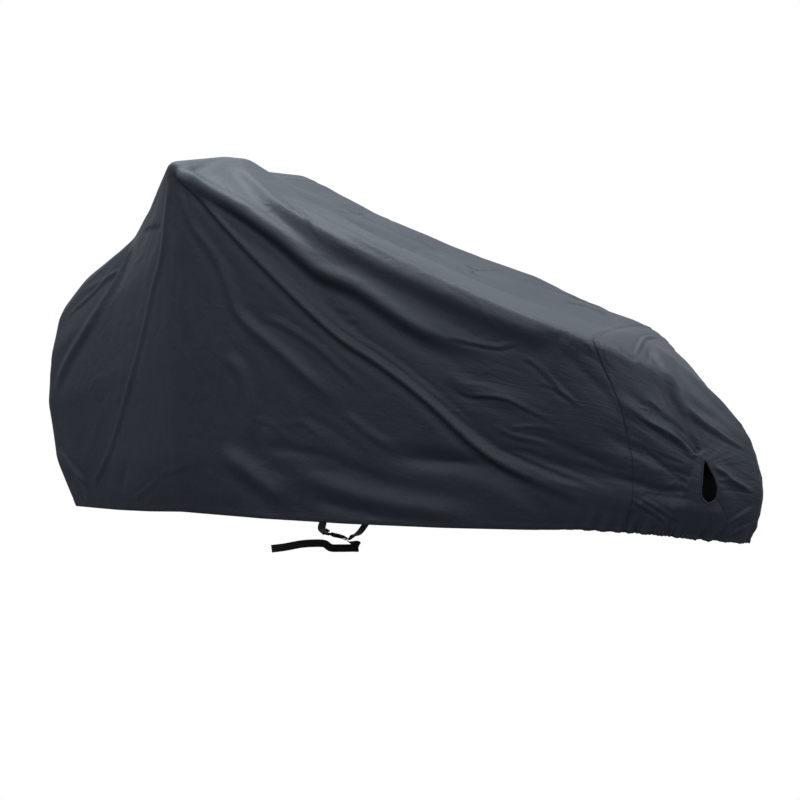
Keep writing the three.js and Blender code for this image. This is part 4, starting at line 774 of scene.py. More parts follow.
def wrinkle_group():
    """Fine wrinkles that the coated cloth keeps from being packed, as a height."""
    tree, given, out = group_tree(
        "packed wrinkles", [("Place", VECTOR, None), ("Scale", FLOAT, 9.0)], [("Height", FLOAT)])
    heights = []
    for turn, stretch, scale in ((0.6, 1.25, 1.0), (-0.9, 1.15, 2.3)):
        size = (scale, scale * stretch, scale)
        place = mapping(tree, given["Place"], Rotation=(0.0, turn, 0.0), Scale=size)
        clouds = noise_texture(tree, place, Scale=given["Scale"], Detail=4.0, Roughness=0.5, Distortion=0.6)
        off = maths(tree, "ABSOLUTE", maths(tree, "SUBTRACT", clouds, 0.5))
        heights.append(maths(tree, "SUBTRACT", 1.0, maths(tree, "MULTIPLY", off, 5.0), clamp=True))
    coarse = maths(tree, "MULTIPLY", heights[0], 0.6)
    fill(tree, out["Height"], maths(tree, "MULTIPLY_ADD", heights[1], 0.4, coarse))


# ---- finishes ----

WRINKLE_DEPTH, WEAVE_DEPTH = 0.0011, 0.00005  # metres, as the ones in the finishes below


def shader(name, roughness, specular):
    material = bpy.data.materials.new(name)
    material.use_nodes = True
    surface = material.node_tree.nodes["Principled BSDF"].inputs
    surface["Roughness"].default_value = roughness
    surface["Specular IOR Level"].default_value = specular
    return material.node_tree, surface


def on_object(tree):
    return node(tree, "ShaderNodeTexCoord").outputs["Object"]


def on_cloth(tree):
    return node(tree, "ShaderNodeUVMap", uv_map="cloth").outputs[0]


def scaled(colour, share, more=0.0):
    return tuple(c * share + more for c in colour)


def dusted(tree, surface, dust, share, clean, dusty):
    """Lets dust cover a share of a clean colour."""
    mask = maths(tree, "MULTIPLY", dust, share)
    fill(tree, surface["Base Color"], blend(tree, mask, clean, dusty))


def bumped(tree, surface, *heights):
    """Height outputs, each with its depth in metres, one after the other into the shader's normal."""
    normal = {}
    for height, depth in heights:
        inputs = {"Height": height, "Distance": depth, "Strength": 1.0, **normal}
        normal = {"Normal": node(tree, "ShaderNodeBump", inputs).outputs[0]}
    fill(tree, surface["Normal"], normal["Normal"])


def coated_cloth(name, settings, shade=1.0):
    """Coated nylon: dark slate blue, satin, with its weave, wrinkles, worn ridges and a little dust."""
    base = scaled(settings.colour, shade)
    tree, surface = shader(name, settings.roughness, 0.36)
    place = on_cloth(tree)
    weave = group_node(tree, "plain weave", {"Place": place})
    wrinkles = group_node(tree, "packed wrinkles", {"Place": place})
    dust = group_node(tree, "settled dust", {"Place": on_object(tree)})["Mask"]
    worn = node(tree, "ShaderNodeAttribute", attribute_name="worn").outputs["Fac"]
    lighter = tuple(min(1, c) for c in scaled(base, 1.5, 0.003))
    threads = blend(tree, weave["Shade"], scaled(base, 0.8), lighter)
    ridges = blend(tree, maths(tree, "MULTIPLY", worn, 0.5, clamp=True), threads, lighter)
    dusty = tuple(c * 1.6 + d for c, d in zip(base, (0.010, 0.009, 0.008)))
    dusted(tree, surface, dust, settings.dust, ridges, dusty)
    fill(tree, surface["Roughness"], maths(tree, "MULTIPLY_ADD", dust, 0.10, settings.roughness - 0.04))
    bumped(tree, surface, (wrinkles["Height"], WRINKLE_DEPTH), (weave["Height"], WEAVE_DEPTH))


def woven_tape(name, colour, threads, roughness, depth):
    """Webbing or binding tape: a coarse weave with fuzz-softened gloss, and painted shade and highlight in
    its weave.
    """
    tree, surface = shader(name, roughness, 0.35)
    surface["Sheen Weight"].default_value = 0.25
    surface["Sheen Roughness"].default_value = 0.4
    weave = group_node(tree, "plain weave", {"Place": on_cloth(tree), "Threads per metre": threads})
    dust = group_node(tree, "settled dust", {"Place": on_object(tree), "Specks": 240.0, "Blotches": 14.0})
    # Painted shade and highlight: the tape's colour follows the weave's height, darker in its low cells and
    # lighter on its high ones.
    weave_with_painted_shade = blend(tree, weave["Height"], scaled(colour, 0.55), scaled(colour, 1.5))
    dusted(tree, surface, dust["Mask"], 0.3, weave_with_painted_shade, scaled(colour, 1.5, 0.012))
    bumped(tree, surface, (weave["Height"], depth))


def moulded_plastic(name, colour):
    """Black acetal: fine spark-eroded grain, a little scuffed."""
    tree, surface = shader(name, 0.42, 0.5)
    place = on_object(tree)
    dust = group_node(tree, "settled dust", {"Place": place, "Specks": 500.0, "Blotches": 40.0})["Mask"]
    dusted(tree, surface, dust, 0.35, colour, scaled(colour, 2.0, 0.01))
    fill(tree, surface["Roughness"], maths(tree, "MULTIPLY_ADD", dust, 0.2, 0.36))
    bumped(tree, surface, (noise_texture(tree, place, Scale=2600.0, Detail=2.0), 0.00008))


def thread_finish(name, colour):
    """Sewing thread: twisted polyester with a soft shine."""
    tree, surface = shader(name, 0.55, 0.4)
    twist = noise_texture(tree, on_object(tree), Scale=1500.0)
    fill(tree, surface["Base Color"], blend(tree, twist, scaled(colour, 0.6), scaled(colour, 1.5)))
    bumped(tree, surface, (twist, 0.0001))


def finish(name):
    return bpy.data.materials[name]


# ---- stitches ----

def stitch_tree():
    """Stitches along lines: each a short rounded thread, evenly spaced and turned along its line."""
    tree, given, out = group_tree(
        "stitches along lines",
        [("Lines", GEOMETRY, None), ("Spacing", FLOAT, 0.005), ("Stitch length", FLOAT, 0.0036),
         ("Thread", FLOAT, 0.0007), ("Finish", "NodeSocketMaterial", None), ("Seed", "NodeSocketInt", 3)],
        [("Geometry", GEOMETRY)], "GeometryNodeTree")
    tree.is_modifier = True
    curves = node(tree, "GeometryNodeMeshToCurve", {"Mesh": given["Lines"]}).outputs[0]
    along = {"Curve": curves, "Length": given["Spacing"]}
    points = node(tree, "GeometryNodeResampleCurve", along, mode="LENGTH").outputs[0]
    ball = {"Segments": 6, "Rings": 4, "Radius": 1.0}
    stitch = node(tree, "GeometryNodeMeshUVSphere", ball).outputs["Mesh"]
    tangent = node(tree, "GeometryNodeInputTangent").outputs[0]
    turn = node(tree, "FunctionNodeAlignRotationToVector", {"Vector": tangent}, axis="Z").outputs[0]
    uneven = {2: 0.88, 3: 1.08, "Seed": given["Seed"]}
    share = node(tree, "FunctionNodeRandomValue", uneven, data_type="FLOAT").outputs[1]
    half = maths(tree, "MULTIPLY", maths(tree, "MULTIPLY", given["Stitch length"], 0.5), share)
    radii = {"X": given["Thread"], "Y": given["Thread"], "Z": half}
    size = node(tree, "ShaderNodeCombineXYZ", radii).outputs[0]
    placing = {"Points": points, "Instance": stitch, "Rotation": turn, "Scale": size}
    row = node(tree, "GeometryNodeInstanceOnPoints", placing).outputs[0]
    real = node(tree, "GeometryNodeRealizeInstances", {0: row}).outputs[0]
    finishing = {"Geometry": real, "Material": given["Finish"]}
    fill(tree, out["Geometry"], node(tree, "GeometryNodeSetMaterial", finishing).outputs[0])


def stitched(name, lines, spacing, length, thread):
    """A piece of stitches along lines, each a list of places in the row frame."""
    places = [tuple(map(float, p)) for line in lines for p in line]
    ends = np.cumsum([len(line) for line in lines])
    edges = [(k, k + 1) for k in range(len(places) - 1) if k + 1 not in ends]
    mesh = bpy.data.meshes.new(name + " lines")
    mesh.from_pydata(places, edges, [])
    guide = linked(name + "_lines", mesh)
    modifier = guide.modifiers.new("stitches", "NODES")
    modifier.node_group = bpy.data.node_groups["stitches along lines"]
    values = {"Spacing": spacing, "Stitch length": length, "Thread": thread, "Seed": 3,
              "Finish": finish("sewing thread")}
    for item in modifier.node_group.interface.items_tree:
        if item.in_out == "INPUT" and item.name in values:
            modifier[item.identifier] = values[item.name]
    guide.update_tag()
    made = baked(guide)
    bpy.data.objects.remove(guide)
    made.name = name
    if not made.polygons:
        raise RuntimeError(f"{name} has no stitches")
    shade_smooth(made)
    return linked(name, made)


# ---- webbing and buckle ----

# A bend of a strap: its place, and the direction across the webbing there.
NEAR_STRAP = [
    ((1022, -292, 178), (1, 0, 0)), ((1021, -291, 140), (1, 0, 0)), ((1012, -286, 118), (1, 0.1, 0)),
    ((980, -220, 92), (0.95, 0.3, 0)), ((944, -150, 81), (0.8, -0.6, 0))]
FAR_STRAP = [
    ((868, 291, 190), (1, 0, 0)), ((869, 290, 152), (1, 0, 0)), ((876, 276, 124), (1, 0, 0)),
    ((912, 150, 78), (0.98, 0.2, 0)), ((955, 20, 56), (0.95, 0.3, 0)), ((983, -60, 60), (0.85, -0.5, 0))]
TAIL = [
    ((993, -56, 36), (0.62, 0.12, 0.72)), ((984, -30, 19), (0.25, -0.3, 0.9)), ((950, -16, 13.2), (0, 0, 1)),
    ((920, -36, 13.2), (0, 0, 1)), ((899, -62, 17), (0, 0, 1)), ((884, -71, 29), (0.1, 0, 1)),
    ((850, -90, 31), (0, 0, 1)), ((816, -109, 28), (0, 0, 1)), ((774, -133, 19), (0, 0, 1)),
    ((735, -155, 13.2), (0, 0, 1))]
# In the buckle a bend is how far along and over it the webbing goes.
ROUND_PLUG = [(-24, 4.2), (-15, 3.6), (-11.6, 3.2), (-10.8, 0), (-11.6, -3.2), (-15, -3.6), (-34, -2.6)]
THROUGH_SOCKET = [(58, -4), (49, -3.7), (44.4, -3), (43, 0), (41.4, 3.5), (37.2, 3.5), (35.5, 0),
                  (36.6, -5.4), (40, -6.6), (50, -7), (58, -10)]
WEBBING_WIDE, WEBBING_THICK = 25.0, 1.6
SEWN_HALF, SEWN_OVER = 9.5, 0.9  # stitches on the near strap: how far to each side, and out of its middle
SEWN_ROWS = (4, 11, 18)  # how far the rows across it are from its end
EDGE_RADIUS = 0.00045  # of the buckle's edges, in metres
BUCKLE_FROM, BUCKLE_TO = np.array([931.0, -131, 74]), np.array([973.0, -84, 58])
BUCKLE_ALONG = unit(BUCKLE_TO - BUCKLE_FROM)
BUCKLE_ACROSS = unit(np.cross((0, 0, 1), BUCKLE_ALONG))
BUCKLE_OVER = np.cross(BUCKLE_ALONG, BUCKLE_ACROSS)
BUCKLE_AT = BUCKLE_FROM + 16 * BUCKLE_ALONG


def in_buckle(along, across, over):
    return BUCKLE_AT + along * BUCKLE_ALONG + across * BUCKLE_ACROSS + over * BUCKLE_OVER


def buckle_bends(rows):
    return [(in_buckle(along, 0, over), -BUCKLE_ACROSS) for along, over in rows]


PLUG_BENDS = NEAR_STRAP + buckle_bends(ROUND_PLUG)
SOCKET_BENDS = FAR_STRAP + buckle_bends(THROUGH_SOCKET) + TAIL


def through(points, steps):
    """A smooth line through points, its knots as far apart as the square roots of their distances."""
    p = carried_on(points)
    out = []
    for k in range(1, len(p) - 2):
        a, b, c, d = p[k - 1:k + 3]
        ta, tb, tc = (max(1e-4, np.linalg.norm(q - r) ** 0.5) for q, r in ((b, a), (c, b), (d, c)))
        m1 = ((b - a) / ta - (c - a) / (ta + tb) + (c - b) / tb) * tb
        m2 = ((c - b) / tb - (d - b) / (tb + tc) + (d - c) / tc) * tb
        for f in np.linspace(0, 1, steps, endpoint=False):
            out.append(b + m1 * f + (3 * (c - b) - 2 * m1 - m2) * f**2 + (2 * (b - c) + m1 + m2) * f**3)
    out.append(p[-2])
    return np.array(out)


def strap_frames(bends, steps=8):
    """Places on a strap, directions across and out of the webbing, and the length run so far."""
    path = through([place for place, _ in bends], steps)
    along = unit(np.gradient(path, axis=0))
    at = np.arange(len(path)) / steps
    turns = np.array([across for _, across in bends], float)
    across = np.stack([np.interp(at, range(len(bends)), turns[:, k]) for k in range(3)], 1)
    across = unit(across - along * (across * along).sum(1, keepdims=True))
    return path, across, np.cross(along, across), run_along(path)


def webbing_mesh(name, bends):
    """A strap of webbing: a flat band with rounded edges, swept through its bends."""
    path, across, out, run = strap_frames(bends)
    half = WEBBING_THICK / 2
    flat = WEBBING_WIDE / 2 - half
    face = [(flat * f, half * (0.92 if f == 0 else 1)) for f in (-1, -0.5, 0, 0.5, 1)]
    turns = [a * math.pi / 2 for a in (0.5, 1, 1.5)]
    edge = [(flat + half * math.sin(turn), half * math.cos(turn)) for turn in turns]
    section = face + edge
    section += [(-x, -y) for x, y in section]
    rings = [p + x * a + y * o for p, a, o in zip(path, across, out) for x, y in section]
    k, n = len(section), len(path)
    corners = [((i, j + 1), (i, j), (i + 1, j), (i + 1, j + 1)) for i in range(n - 1) for j in range(k)]
    faces = [[i * k + j % k for i, j in face] for face in corners]
    faces += [list(range(k)), [(n - 1) * k + j for j in reversed(range(k))]]
    piece = made_mesh(name, (np.array(rings) - ORIGIN) / 1000, faces, finish("black webbing"))
    around = run_along(np.array(section + section[:1])) / 1000
    places = [(around[j], run[i] / 1000) for face in corners for i, j in face]
    mapped(piece.data, places + [(0, 0)] * (2 * k))
    turned_out(piece)
    return piece


def settled(piece):
    """Takes a piece's modifiers into its mesh."""
    whole, piece.data = piece.data, baked(piece)
    piece.modifiers.clear()
    bpy.data.meshes.remove(whole)
    piece.data.name = piece.name


def buckle_piece(name, solid, ribs):
    """A moulded half of the buckle: the frame's solid with rounded edges, and ribs for the fingers on it."""
    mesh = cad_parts[solid].data.copy()
    made = bmesh.new()
    made.from_mesh(mesh)
    bmesh.ops.remove_doubles(made, verts=made.verts, dist=1e-5)
    bmesh.ops.dissolve_limit(made, angle_limit=0.02, verts=made.verts, edges=made.edges)
    for at, size in ribs:
        for corner in bmesh.ops.create_cube(made, size=1.0)["verts"]:
            local = np.array(at) + np.array(corner.co) * np.array(size)
            corner.co = (in_buckle(*local) - ORIGIN) / 1000
    made.to_mesh(mesh)
    made.free()
    mesh.materials.clear()
    mesh.materials.append(finish("moulded acetal"))
    while mesh.color_attributes:
        mesh.color_attributes.remove(mesh.color_attributes[0])
    piece = linked(name, mesh)
    bevel = piece.modifiers.new("rounded edges", "BEVEL")
    bevel.width, bevel.segments = EDGE_RADIUS, 2
    bevel.limit_method, bevel.angle_limit = "ANGLE", math.radians(35)
    settled(piece)
    shade_smooth(piece.data)
    piece.data.set_sharp_from_angle(angle=math.radians(28))
    return piece


# ---- lock openings ----

RING_PLACES = 88
BINDING = [  # the folded tape's section in metres, towards the opening's middle and out of the cloth
    (0.0021, 0.0004), (0.0016, 0.0014), (0.0004, 0.0018), (-0.0026, 0.0017), (-0.0033, 0.0011),
    (-0.0034, -0.0012), (-0.0028, -0.0026), (0.0004, -0.0029), (0.0016, -0.0024), (0.0021, -0.0012)]
BINDING_STEP = 0.0012  # metres of tape from one place of the section to the next, for its weave


def lock_ring(cloth, side):
    """The edge of a lock opening on the dressed cloth, and the ways to its middle and out of the cloth."""
    at, top, bottom = LOCK
    down = [(at - rear, top + (bottom - top) * d, 0) for d, rear, front in LOCK_OUTLINE]
    back = [(at + front, top + (bottom - top) * d, 0) for d, rear, front in LOCK_OUTLINE[1:-1][::-1]]
    loop = down + back
    s, t, _ = through(loop[-2:] + loop + loop[:2], 12)[24:-12].T
    places = cloth.on(s, t if side > 0 else 2 - t, on_front=True)
    closed = np.vstack([places, places[:1]])
    run = run_along(closed)
    even = np.linspace(0, run[-1], RING_PLACES, endpoint=False)
    places = np.stack([np.interp(even, run, closed[:, k]) for k in range(3)], 1)
    normal = drape_normal(np.array([side]), np.array([at]), np.array([(top + bottom) / 2]))[0]
    inward = unit(np.cross(normal, unit(np.roll(places, -1, 0) - np.roll(places, 1, 0))))
    if ((places.mean(0) - places) * inward).sum() < 0:
        inward = -inward
    return places, inward, normal


def binding_mesh(name, ring):
    """A closed tube of folded tape round a lock opening."""
    places, inward, normal = ring
    k, n = len(BINDING), len(places)
    points = [p + x * i + y * normal for p, i in zip(places, inward) for x, y in BINDING]
    faces = [[i * k + j, i * k + (j + 1) % k, ((i + 1) % n) * k + (j + 1) % k, ((i + 1) % n) * k + j]
             for i in range(n) for j in range(k)]
    piece = made_mesh(name, points, faces, finish("binding tape"))
    turned_out(piece)
    step = np.linalg.norm(places[1] - places[0])
    at = np.array([corner.vertex_index for corner in piece.data.loops])
    mapped(piece.data, np.stack([(at % k) * BINDING_STEP, (at // k) * step], 1))
    return piece


def cut_through(piece, ring, deep=0.025):
    """Cuts the hole inside a ring through a piece."""
    places, _, normal = ring
    n = len(places)
    points = [p + normal * d for d in (-deep, deep) for p in places]
    faces = [[i, (i + 1) % n, n + (i + 1) % n, n + i] for i in range(n)]
    faces += [list(range(n)), list(range(2 * n - 1, n - 1, -1))]
    cutter = made_mesh("cutter", points, faces)
    turned_out(cutter)
    modifier = piece.modifiers.new("opening", "BOOLEAN")
    modifier.operation, modifier.object, modifier.solver = "DIFFERENCE", cutter, "EXACT"
    settled(piece)
    bpy.data.objects.remove(cutter)
    if not piece.data.polygons:
        raise RuntimeError(f"{piece.name} was cut away")


# ---- grids ----

HEM_LINES = [0, 0.002, 0.0065, 0.011, 0.0140, 0.0155, 0.0170, 0.0188, 0.0205, 0.024]  # t, up to over the hem
# Grid lines along the cover: where each stretch of even ones ends, and how many it has.
BODY_LINES = ((0.03, 10), (0.30, 76), (0.64, 98), (0.77, 44), (0.8146, 36), (SEAM_AT, 6))
FRONT_LINES = ((0.06, 12), (1.0, 176))
HEM_STITCHES = 0.01545  # t of the hem's row of stitches
SEAM_ROWS = (-5.5, 1.5)  # how far the seam's rows of stitches are in front of its line
HEM_OUT, SEAM_OUT = 0.35, 0.25  # how far the middle of the thread is out of the cloth


def spaced(parts):
    """One list from (end, count) parts, evenly spaced within each, from 0."""
    out = [0.0]
    for end, count in parts:
        out += list(np.linspace(out[-1], end, count + 1)[1:])
    return np.array(out)


def climb_lines(fine):
    """Lines up the cloth and down the far side, closer together at the hem. fine: how many to the spine."""
    last, rest = HEM_LINES[-1], fine - len(HEM_LINES) + 1
    near = np.array(HEM_LINES + list(last + (1 - last) * np.linspace(0, 1, rest + 1)[1:]))
    return np.concatenate([near, 2 - near[-2::-1]])


# ---- stage ----

# The sky round the cover, in front of it (where the camera stands) and behind it: heights and brightness, and
# the strength from its rear end to its front end.
SKY_IN_FRONT = ((-0.1, 0.42), (0.0, 0.60), (0.25, 0.84), (0.6, 1.3), (1.0, 1.9))
SKY_BEHIND = ((-0.1, 0.16), (0.0, 0.45), (0.2, 0.76), (0.6, 1.2), (1.0, 1.9))
SKY_ACROSS = ((-1.0, 0.45), (-0.86, 0.6), (-0.7, 1.15), (-0.5, 1.0), (-0.3, 0.85), (0.0, 0.75), (0.5, 1.0),
              (1.0, 1.1))
SKY_TINT = (0.82, 0.89, 1.0)
BACKWARDS = (0.45, 0.87)  # x and y of the way that counts as behind the cover
FLOOR_AT, FLOOR_HALF = -1.2951, 30  # its height, just under the cover, and half its width
EYE, LENS, SENSOR = (2.500, -3.3096, -0.645), 54.36, 36.0
FOCUS_PX, HORIZON_PX = 1208, 50  # focal length, and how far the horizon is above the middle, in pixels
LOOKS_DOWN, LOOKS_ROUND = math.atan2(HORIZON_PX, FOCUS_PX), math.radians(29.33)


def ramp(tree, factor, stops, tint=(1, 1, 1)):
    """Brightness between stops, each a value from -1 to 1 and how bright it is there."""
    made = node(tree, "ShaderNodeValToRGB", {0: maths(tree, "MULTIPLY_ADD", factor, 0.5, 0.5)})
    made.color_ramp.interpolation = "EASE"
    while len(made.color_ramp.elements) < len(stops):
        made.color_ramp.elements.new(0.5)
    for element, (at, level) in zip(made.color_ramp.elements, stops):
        element.position = 0.5 + at / 2
        element.color = (*scaled(tint, level), 1)
    return made.outputs[0]


def seen_and_lit(tree, seen, lit, out):
    """Shows the camera one shader and gives every other ray another."""
    camera_ray = node(tree, "ShaderNodeLightPath").outputs["Is Camera Ray"]
    mix = node(tree, "ShaderNodeMixShader", {0: camera_ray, 1: lit, 2: seen}).outputs[0]
    node(tree, out, {"Surface": mix})


def emptied(owner):
    owner.use_nodes = True
    owner.node_tree.nodes.clear()
    return owner.node_tree


def sky():
    """White to the camera, and to the cover a soft sky that is brighter above than below."""
    world = bpy.data.worlds.new("studio")
    tree = emptied(world)
    direction = node(tree, "ShaderNodeTexCoord").outputs["Generated"]
    x, y, z = node(tree, "ShaderNodeSeparateXYZ", {0: direction}).outputs
    behind = maths(tree, "ADD", *(maths(tree, "MULTIPLY", *pair) for pair in zip((x, y), BACKWARDS)))
    turning = {"Value": behind, "From Min": -0.25, "From Max": 0.75}
    turn = node(tree, "ShaderNodeMapRange", turning, interpolation_type="SMOOTHSTEP").outputs[0]
    skies = [ramp(tree, z, stops, SKY_TINT) for stops in (SKY_IN_FRONT, SKY_BEHIND)]
    soft = {"Color": blend(tree, turn, *skies), "Strength": ramp(tree, x, SKY_ACROSS)}
    lit = node(tree, "ShaderNodeBackground", soft).outputs[0]
    seen = node(tree, "ShaderNodeBackground", {"Color": (1, 1, 1)}).outputs[0]
    seen_and_lit(tree, seen, lit, "ShaderNodeOutputWorld")
    return world


def floor():
    """A floor that is white to the camera and dark to the light."""
    corners = [(x * FLOOR_HALF, y * FLOOR_HALF, FLOOR_AT) for x, y in ((-1, -1), (1, -1), (1, 1), (-1, 1))]
    ground = made_mesh("floor", corners, [(0, 1, 2, 3)])
    material = bpy.data.materials.new("white floor")
    tree = emptied(material)
    lit = node(tree, "ShaderNodeBsdfDiffuse", {"Color": (0.18, 0.19, 0.20)}).outputs[0]
    seen = node(tree, "ShaderNodeEmission", {"Strength": 1.0}).outputs[0]
    seen_and_lit(tree, seen, lit, "ShaderNodeOutputMaterial")
    ground.data.materials.append(material)
    return ground


def placed(context, name, data, at, turn):
    thing = bpy.data.objects.new(name, data)
    thing.location, thing.rotation_euler = at, turn
    context.collection.objects.link(thing)
    return thing


# ---- settings and operators ----

class COVER_PG_settings(bpy.types.PropertyGroup):
    colour: bpy.props.FloatVectorProperty(
        name="Cloth colour", description="Colour of the coated cloth", subtype="COLOR", size=3,
        default=(0.0150, 0.0177, 0.0228), min=0, max=1)
    roughness: bpy.props.FloatProperty(
        name="Cloth roughness", description="How dull the cloth's coating is", default=0.46, min=0.1, max=0.9)
    dust: bpy.props.FloatProperty(
        name="Dust", description="Share of settled dust that shows on the cloth", default=0.35, min=0, max=1)
    crease_depth: bpy.props.FloatProperty(
        name="Crease depth", description="How deep the fine creases are, as a share", default=0.85, min=0,
        max=2)
    stitch_spacing: bpy.props.FloatProperty(
        name="Stitch spacing", description="Distance from one stitch to the next", default=0.0045, min=0.003,
        max=0.02, unit="LENGTH")
    thread: bpy.props.FloatProperty(
        name="Thread thickness", description="Half the thickness of the sewing thread", default=0.0005,
        min=0.0002, max=0.002, unit="LENGTH")


class COVER_OT_finishes(bpy.types.Operator):
    """Makes the materials and the node groups that they share"""

    bl_idname = "cover.finishes"
    bl_label = "Finishes"

    def execute(self, context):
        for group in (weave_group, dust_group, wrinkle_group, stitch_tree):
            group()
        settings = context.scene.cover_settings
        coated_cloth("coated cloth", settings)
        coated_cloth("front coated cloth", settings, 0.96)
        woven_tape("black webbing", (0.010, 0.010, 0.011), 620.0, 0.75, 0.0002)
        woven_tape("binding tape", (0.014, 0.016, 0.020), 1300.0, 0.6, 0.0001)
        moulded_plastic("moulded acetal", (0.009, 0.009, 0.010))
        thread_finish("sewing thread", (0.018, 0.021, 0.028))
        return {"FINISHED"}


class COVER_OT_stage(bpy.types.Operator):
    """Sets the white floor, the light and the camera"""

    bl_idname = "cover.stage"
    bl_label = "Stage"

    def execute(self, context):
        scene = context.scene
        scene.view_settings.view_transform = "Standard"
        scene.world = sky()
        light = bpy.data.lights.new("overhead softbox", "AREA")
        light.shape, light.size, light.size_y = "RECTANGLE", 5.0, 2.6
        light.energy, light.color = 110, (0.85, 0.93, 1.0)
        placed(context, "overhead softbox", light, (0.2, 0.9, 3.6), (-0.22, 0, 0))
        ground = floor()
        camera = bpy.data.cameras.new("camera")
        camera.lens, camera.sensor_width, camera.clip_end = LENS, SENSOR, 200
        scene.camera = placed(context, "camera", camera, EYE, (math.radians(90) - LOOKS_DOWN, 0, LOOKS_ROUND))
        return {"FINISHED"}


class COVER_OT_body(bpy.types.Operator):
    """Makes the cover's body cloth"""

    bl_idname = "cover.body"
    bl_label = "Body cloth"

    def execute(self, context):
        cloth = Cloth(context.scene.cover_settings.crease_depth)
        lines = spaced(BODY_LINES)
        piece = sheet_mesh("body_cloth", cloth, lines, climb_lines(132), False, finish("coated cloth"))
        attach(piece, "root")
        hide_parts("cover_body")
        return {"FINISHED"}


class COVER_OT_front(bpy.types.Operator):
    """Makes the front panel and cuts its two lock openings"""

    bl_idname = "cover.front"
    bl_label = "Front panel"

    def execute(self, context):
        cloth = Cloth(context.scene.cover_settings.crease_depth)
        lines = SEAM_AT - LAP + (1 - SEAM_AT + LAP) * spaced(FRONT_LINES)
        piece = sheet_mesh("front_cloth", cloth, lines, climb_lines(140), True, finish("front coated cloth"))
        for side in (1, -1):
            cut_through(piece, lock_ring(cloth, side))
        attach(piece, "root")
        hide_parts("front_panel")
        return {"FINISHED"}


class COVER_OT_bindings(bpy.types.Operator):
    """Binds the edges of the lock openings with folded tape"""

    bl_idname = "cover.bindings"
    bl_label = "Lock bindings"

    def execute(self, context):
        cloth = Cloth(context.scene.cover_settings.crease_depth)
        rows = []
        for side, word in ((1, "near"), (-1, "far")):
            ring = lock_ring(cloth, side)
            piece = binding_mesh(f"lock_binding_{word}", ring)
            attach(piece, "root")
            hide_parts(f"lock_edge_{word}")
            places, inward, normal = ring
            row = places - inward * 0.0017 + normal * 0.0018
            rows.append(np.vstack([row, row[:1]]))
        stitches = stitched("lock_stitches", rows, 0.0035, 0.0026, 0.0004)
        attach(stitches, "root")
        return {"FINISHED"}


class COVER_OT_straps(bpy.types.Operator):
    """Makes the two halves of the belly strap with their sewn ends"""

    bl_idname = "cover.straps"
    bl_label = "Belly strap"

    def execute(self, context):
        for name, solid, bends in (("webbing_near", "strap_near", PLUG_BENDS),
                                   ("webbing_far", "strap_far", SOCKET_BENDS)):
            piece = webbing_mesh(name, bends)
            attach(piece, "root")
            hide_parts(solid)
        path, across, out, run = strap_frames(PLUG_BENDS)

        def sewn(at, side):
            return (path[at] + across[at] * side + out[at] * SEWN_OVER - ORIGIN) / 1000

        box = (run >= run[-1] - SEWN_ROWS[-1]) & (run <= run[-1] - SEWN_ROWS[0])
        lines = [sewn(box, side) for side in (-SEWN_HALF, SEWN_HALF)]
        for back in SEWN_ROWS:
            at = int(np.argmin(abs(run - (run[-1] - back))))
            lines.append([sewn(at, side) for side in (-SEWN_HALF, 0, SEWN_HALF)])
        stitches = stitched("strap_stitches", lines, 0.0026, 0.0020, 0.0004)
        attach(stitches, "root")
        return {"FINISHED"}


class COVER_OT_buckle(bpy.types.Operator):
    """Makes the side-release buckle"""

    bl_idname = "cover.buckle"
    bl_label = "Buckle"

    def execute(self, context):
        # A rib: its middle along, across and over the buckle, and its size, in millimetres.
        grips = [((12.6 + 2.3 * k, 16.2 * side - 0.4 * side * k, 0), (0.9, 1.2, 4.4))
                 for k in range(3) for side in (-1, 1)]
        bars = [((28.5, y, 5.4), (3.2, 1.0, 0.9)) for y in (-8, -4, 0, 4, 8)]
        for name, solid, ribs in (("buckle_plug_dressed", "buckle_plug", grips),
                                  ("buckle_socket_dressed", "buckle_socket", bars)):
            piece = buckle_piece(name, solid, ribs)
            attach(piece, "root")
            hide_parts(solid)
        return {"FINISHED"}


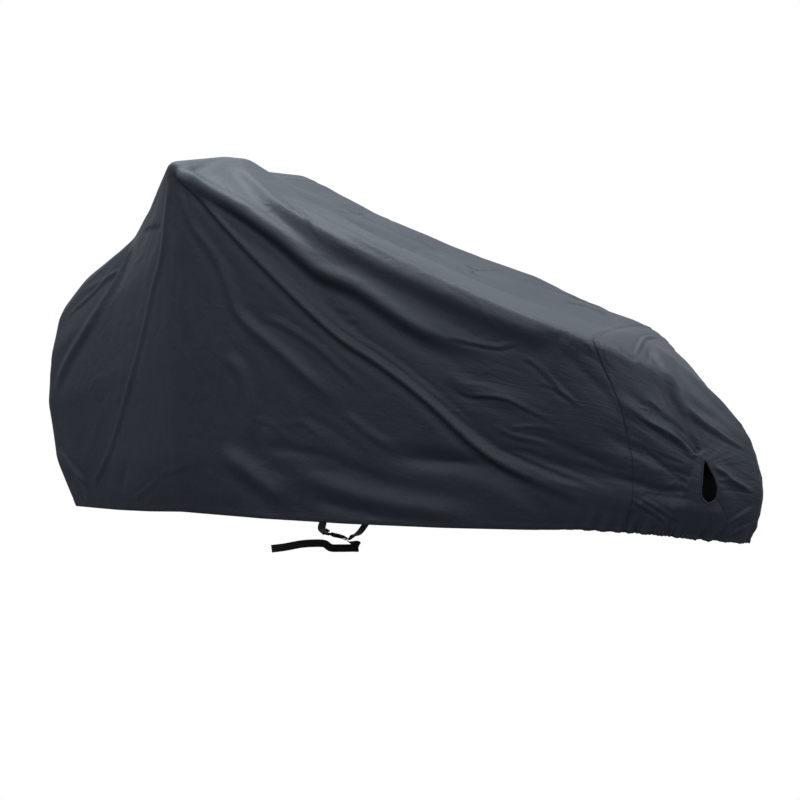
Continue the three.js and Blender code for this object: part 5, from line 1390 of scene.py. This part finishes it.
class COVER_OT_stitches(bpy.types.Operator):
    """Sews the hem and the double row along the seam of the front panel"""

    bl_idname = "cover.stitches"
    bl_label = "Hem and seam stitches"

    def execute(self, context):
        settings = context.scene.cover_settings
        cloth = Cloth(settings.crease_depth)
        hem = []
        for side, t in ((1, HEM_STITCHES), (-1, 2 - HEM_STITCHES)):
            edge = float(seam_share(side, HEM_STITCHES))
            for start, end, count, on_front in ((0.001, edge - 0.006, 420, False),
                                                (edge + 0.008, 0.9995, 220, True)):
                hem.append(cloth.on(np.linspace(start, end, count), np.full(count, t), HEM_OUT, on_front))
        t = np.linspace(0.012, 1.988, 520)
        seam = [cloth.on(seam_share(*sides(t)) + row / SPREAD[0], t, SEAM_OUT, True) for row in SEAM_ROWS]
        length = settings.stitch_spacing * 0.78
        for name, lines in (("hem_stitches", hem), ("seam_stitches", seam)):
            piece = stitched(name, lines, settings.stitch_spacing, length, settings.thread)
            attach(piece, "root")
        return {"FINISHED"}


class COVER_OT_declare(bpy.types.Operator):
    """A step that does nothing"""

    bl_idname = "cover.declare"
    bl_label = "State the cloth panels"

    def execute(self, context):
        return {"FINISHED"}


STEPS = (COVER_OT_finishes, COVER_OT_stage, COVER_OT_body, COVER_OT_front, COVER_OT_bindings, COVER_OT_straps,
         COVER_OT_buckle, COVER_OT_stitches, COVER_OT_declare)


class COVER_PT_panel(bpy.types.Panel):
    """Lists the cover's pieces and settings"""

    bl_idname = "COVER_PT_panel"
    bl_label = "Bicycle cover"
    bl_space_type = "VIEW_3D"
    bl_region_type = "UI"
    bl_category = "Cover"

    def draw(self, context):
        for name in ("colour", "roughness", "dust", "crease_depth", "stitch_spacing", "thread"):
            self.layout.prop(context.scene.cover_settings, name)
        for step in STEPS:
            self.layout.operator(step.bl_idname)


CLASSES = (COVER_PG_settings, *STEPS, COVER_PT_panel)


def register():
    for cls in CLASSES:
        bpy.utils.register_class(cls)
    bpy.types.Scene.cover_settings = bpy.props.PointerProperty(type=COVER_PG_settings)


def unregister():
    del bpy.types.Scene.cover_settings
    for cls in reversed(CLASSES):
        bpy.utils.unregister_class(cls)


def main():
    register()
    for step in STEPS:
        group, name = step.bl_idname.split(".")
        result = getattr(getattr(bpy.ops, group), name)()
        if result != {"FINISHED"}:
            raise RuntimeError(f"{step.bl_idname} didn't finish")


if __name__ == "__main__":
    main()
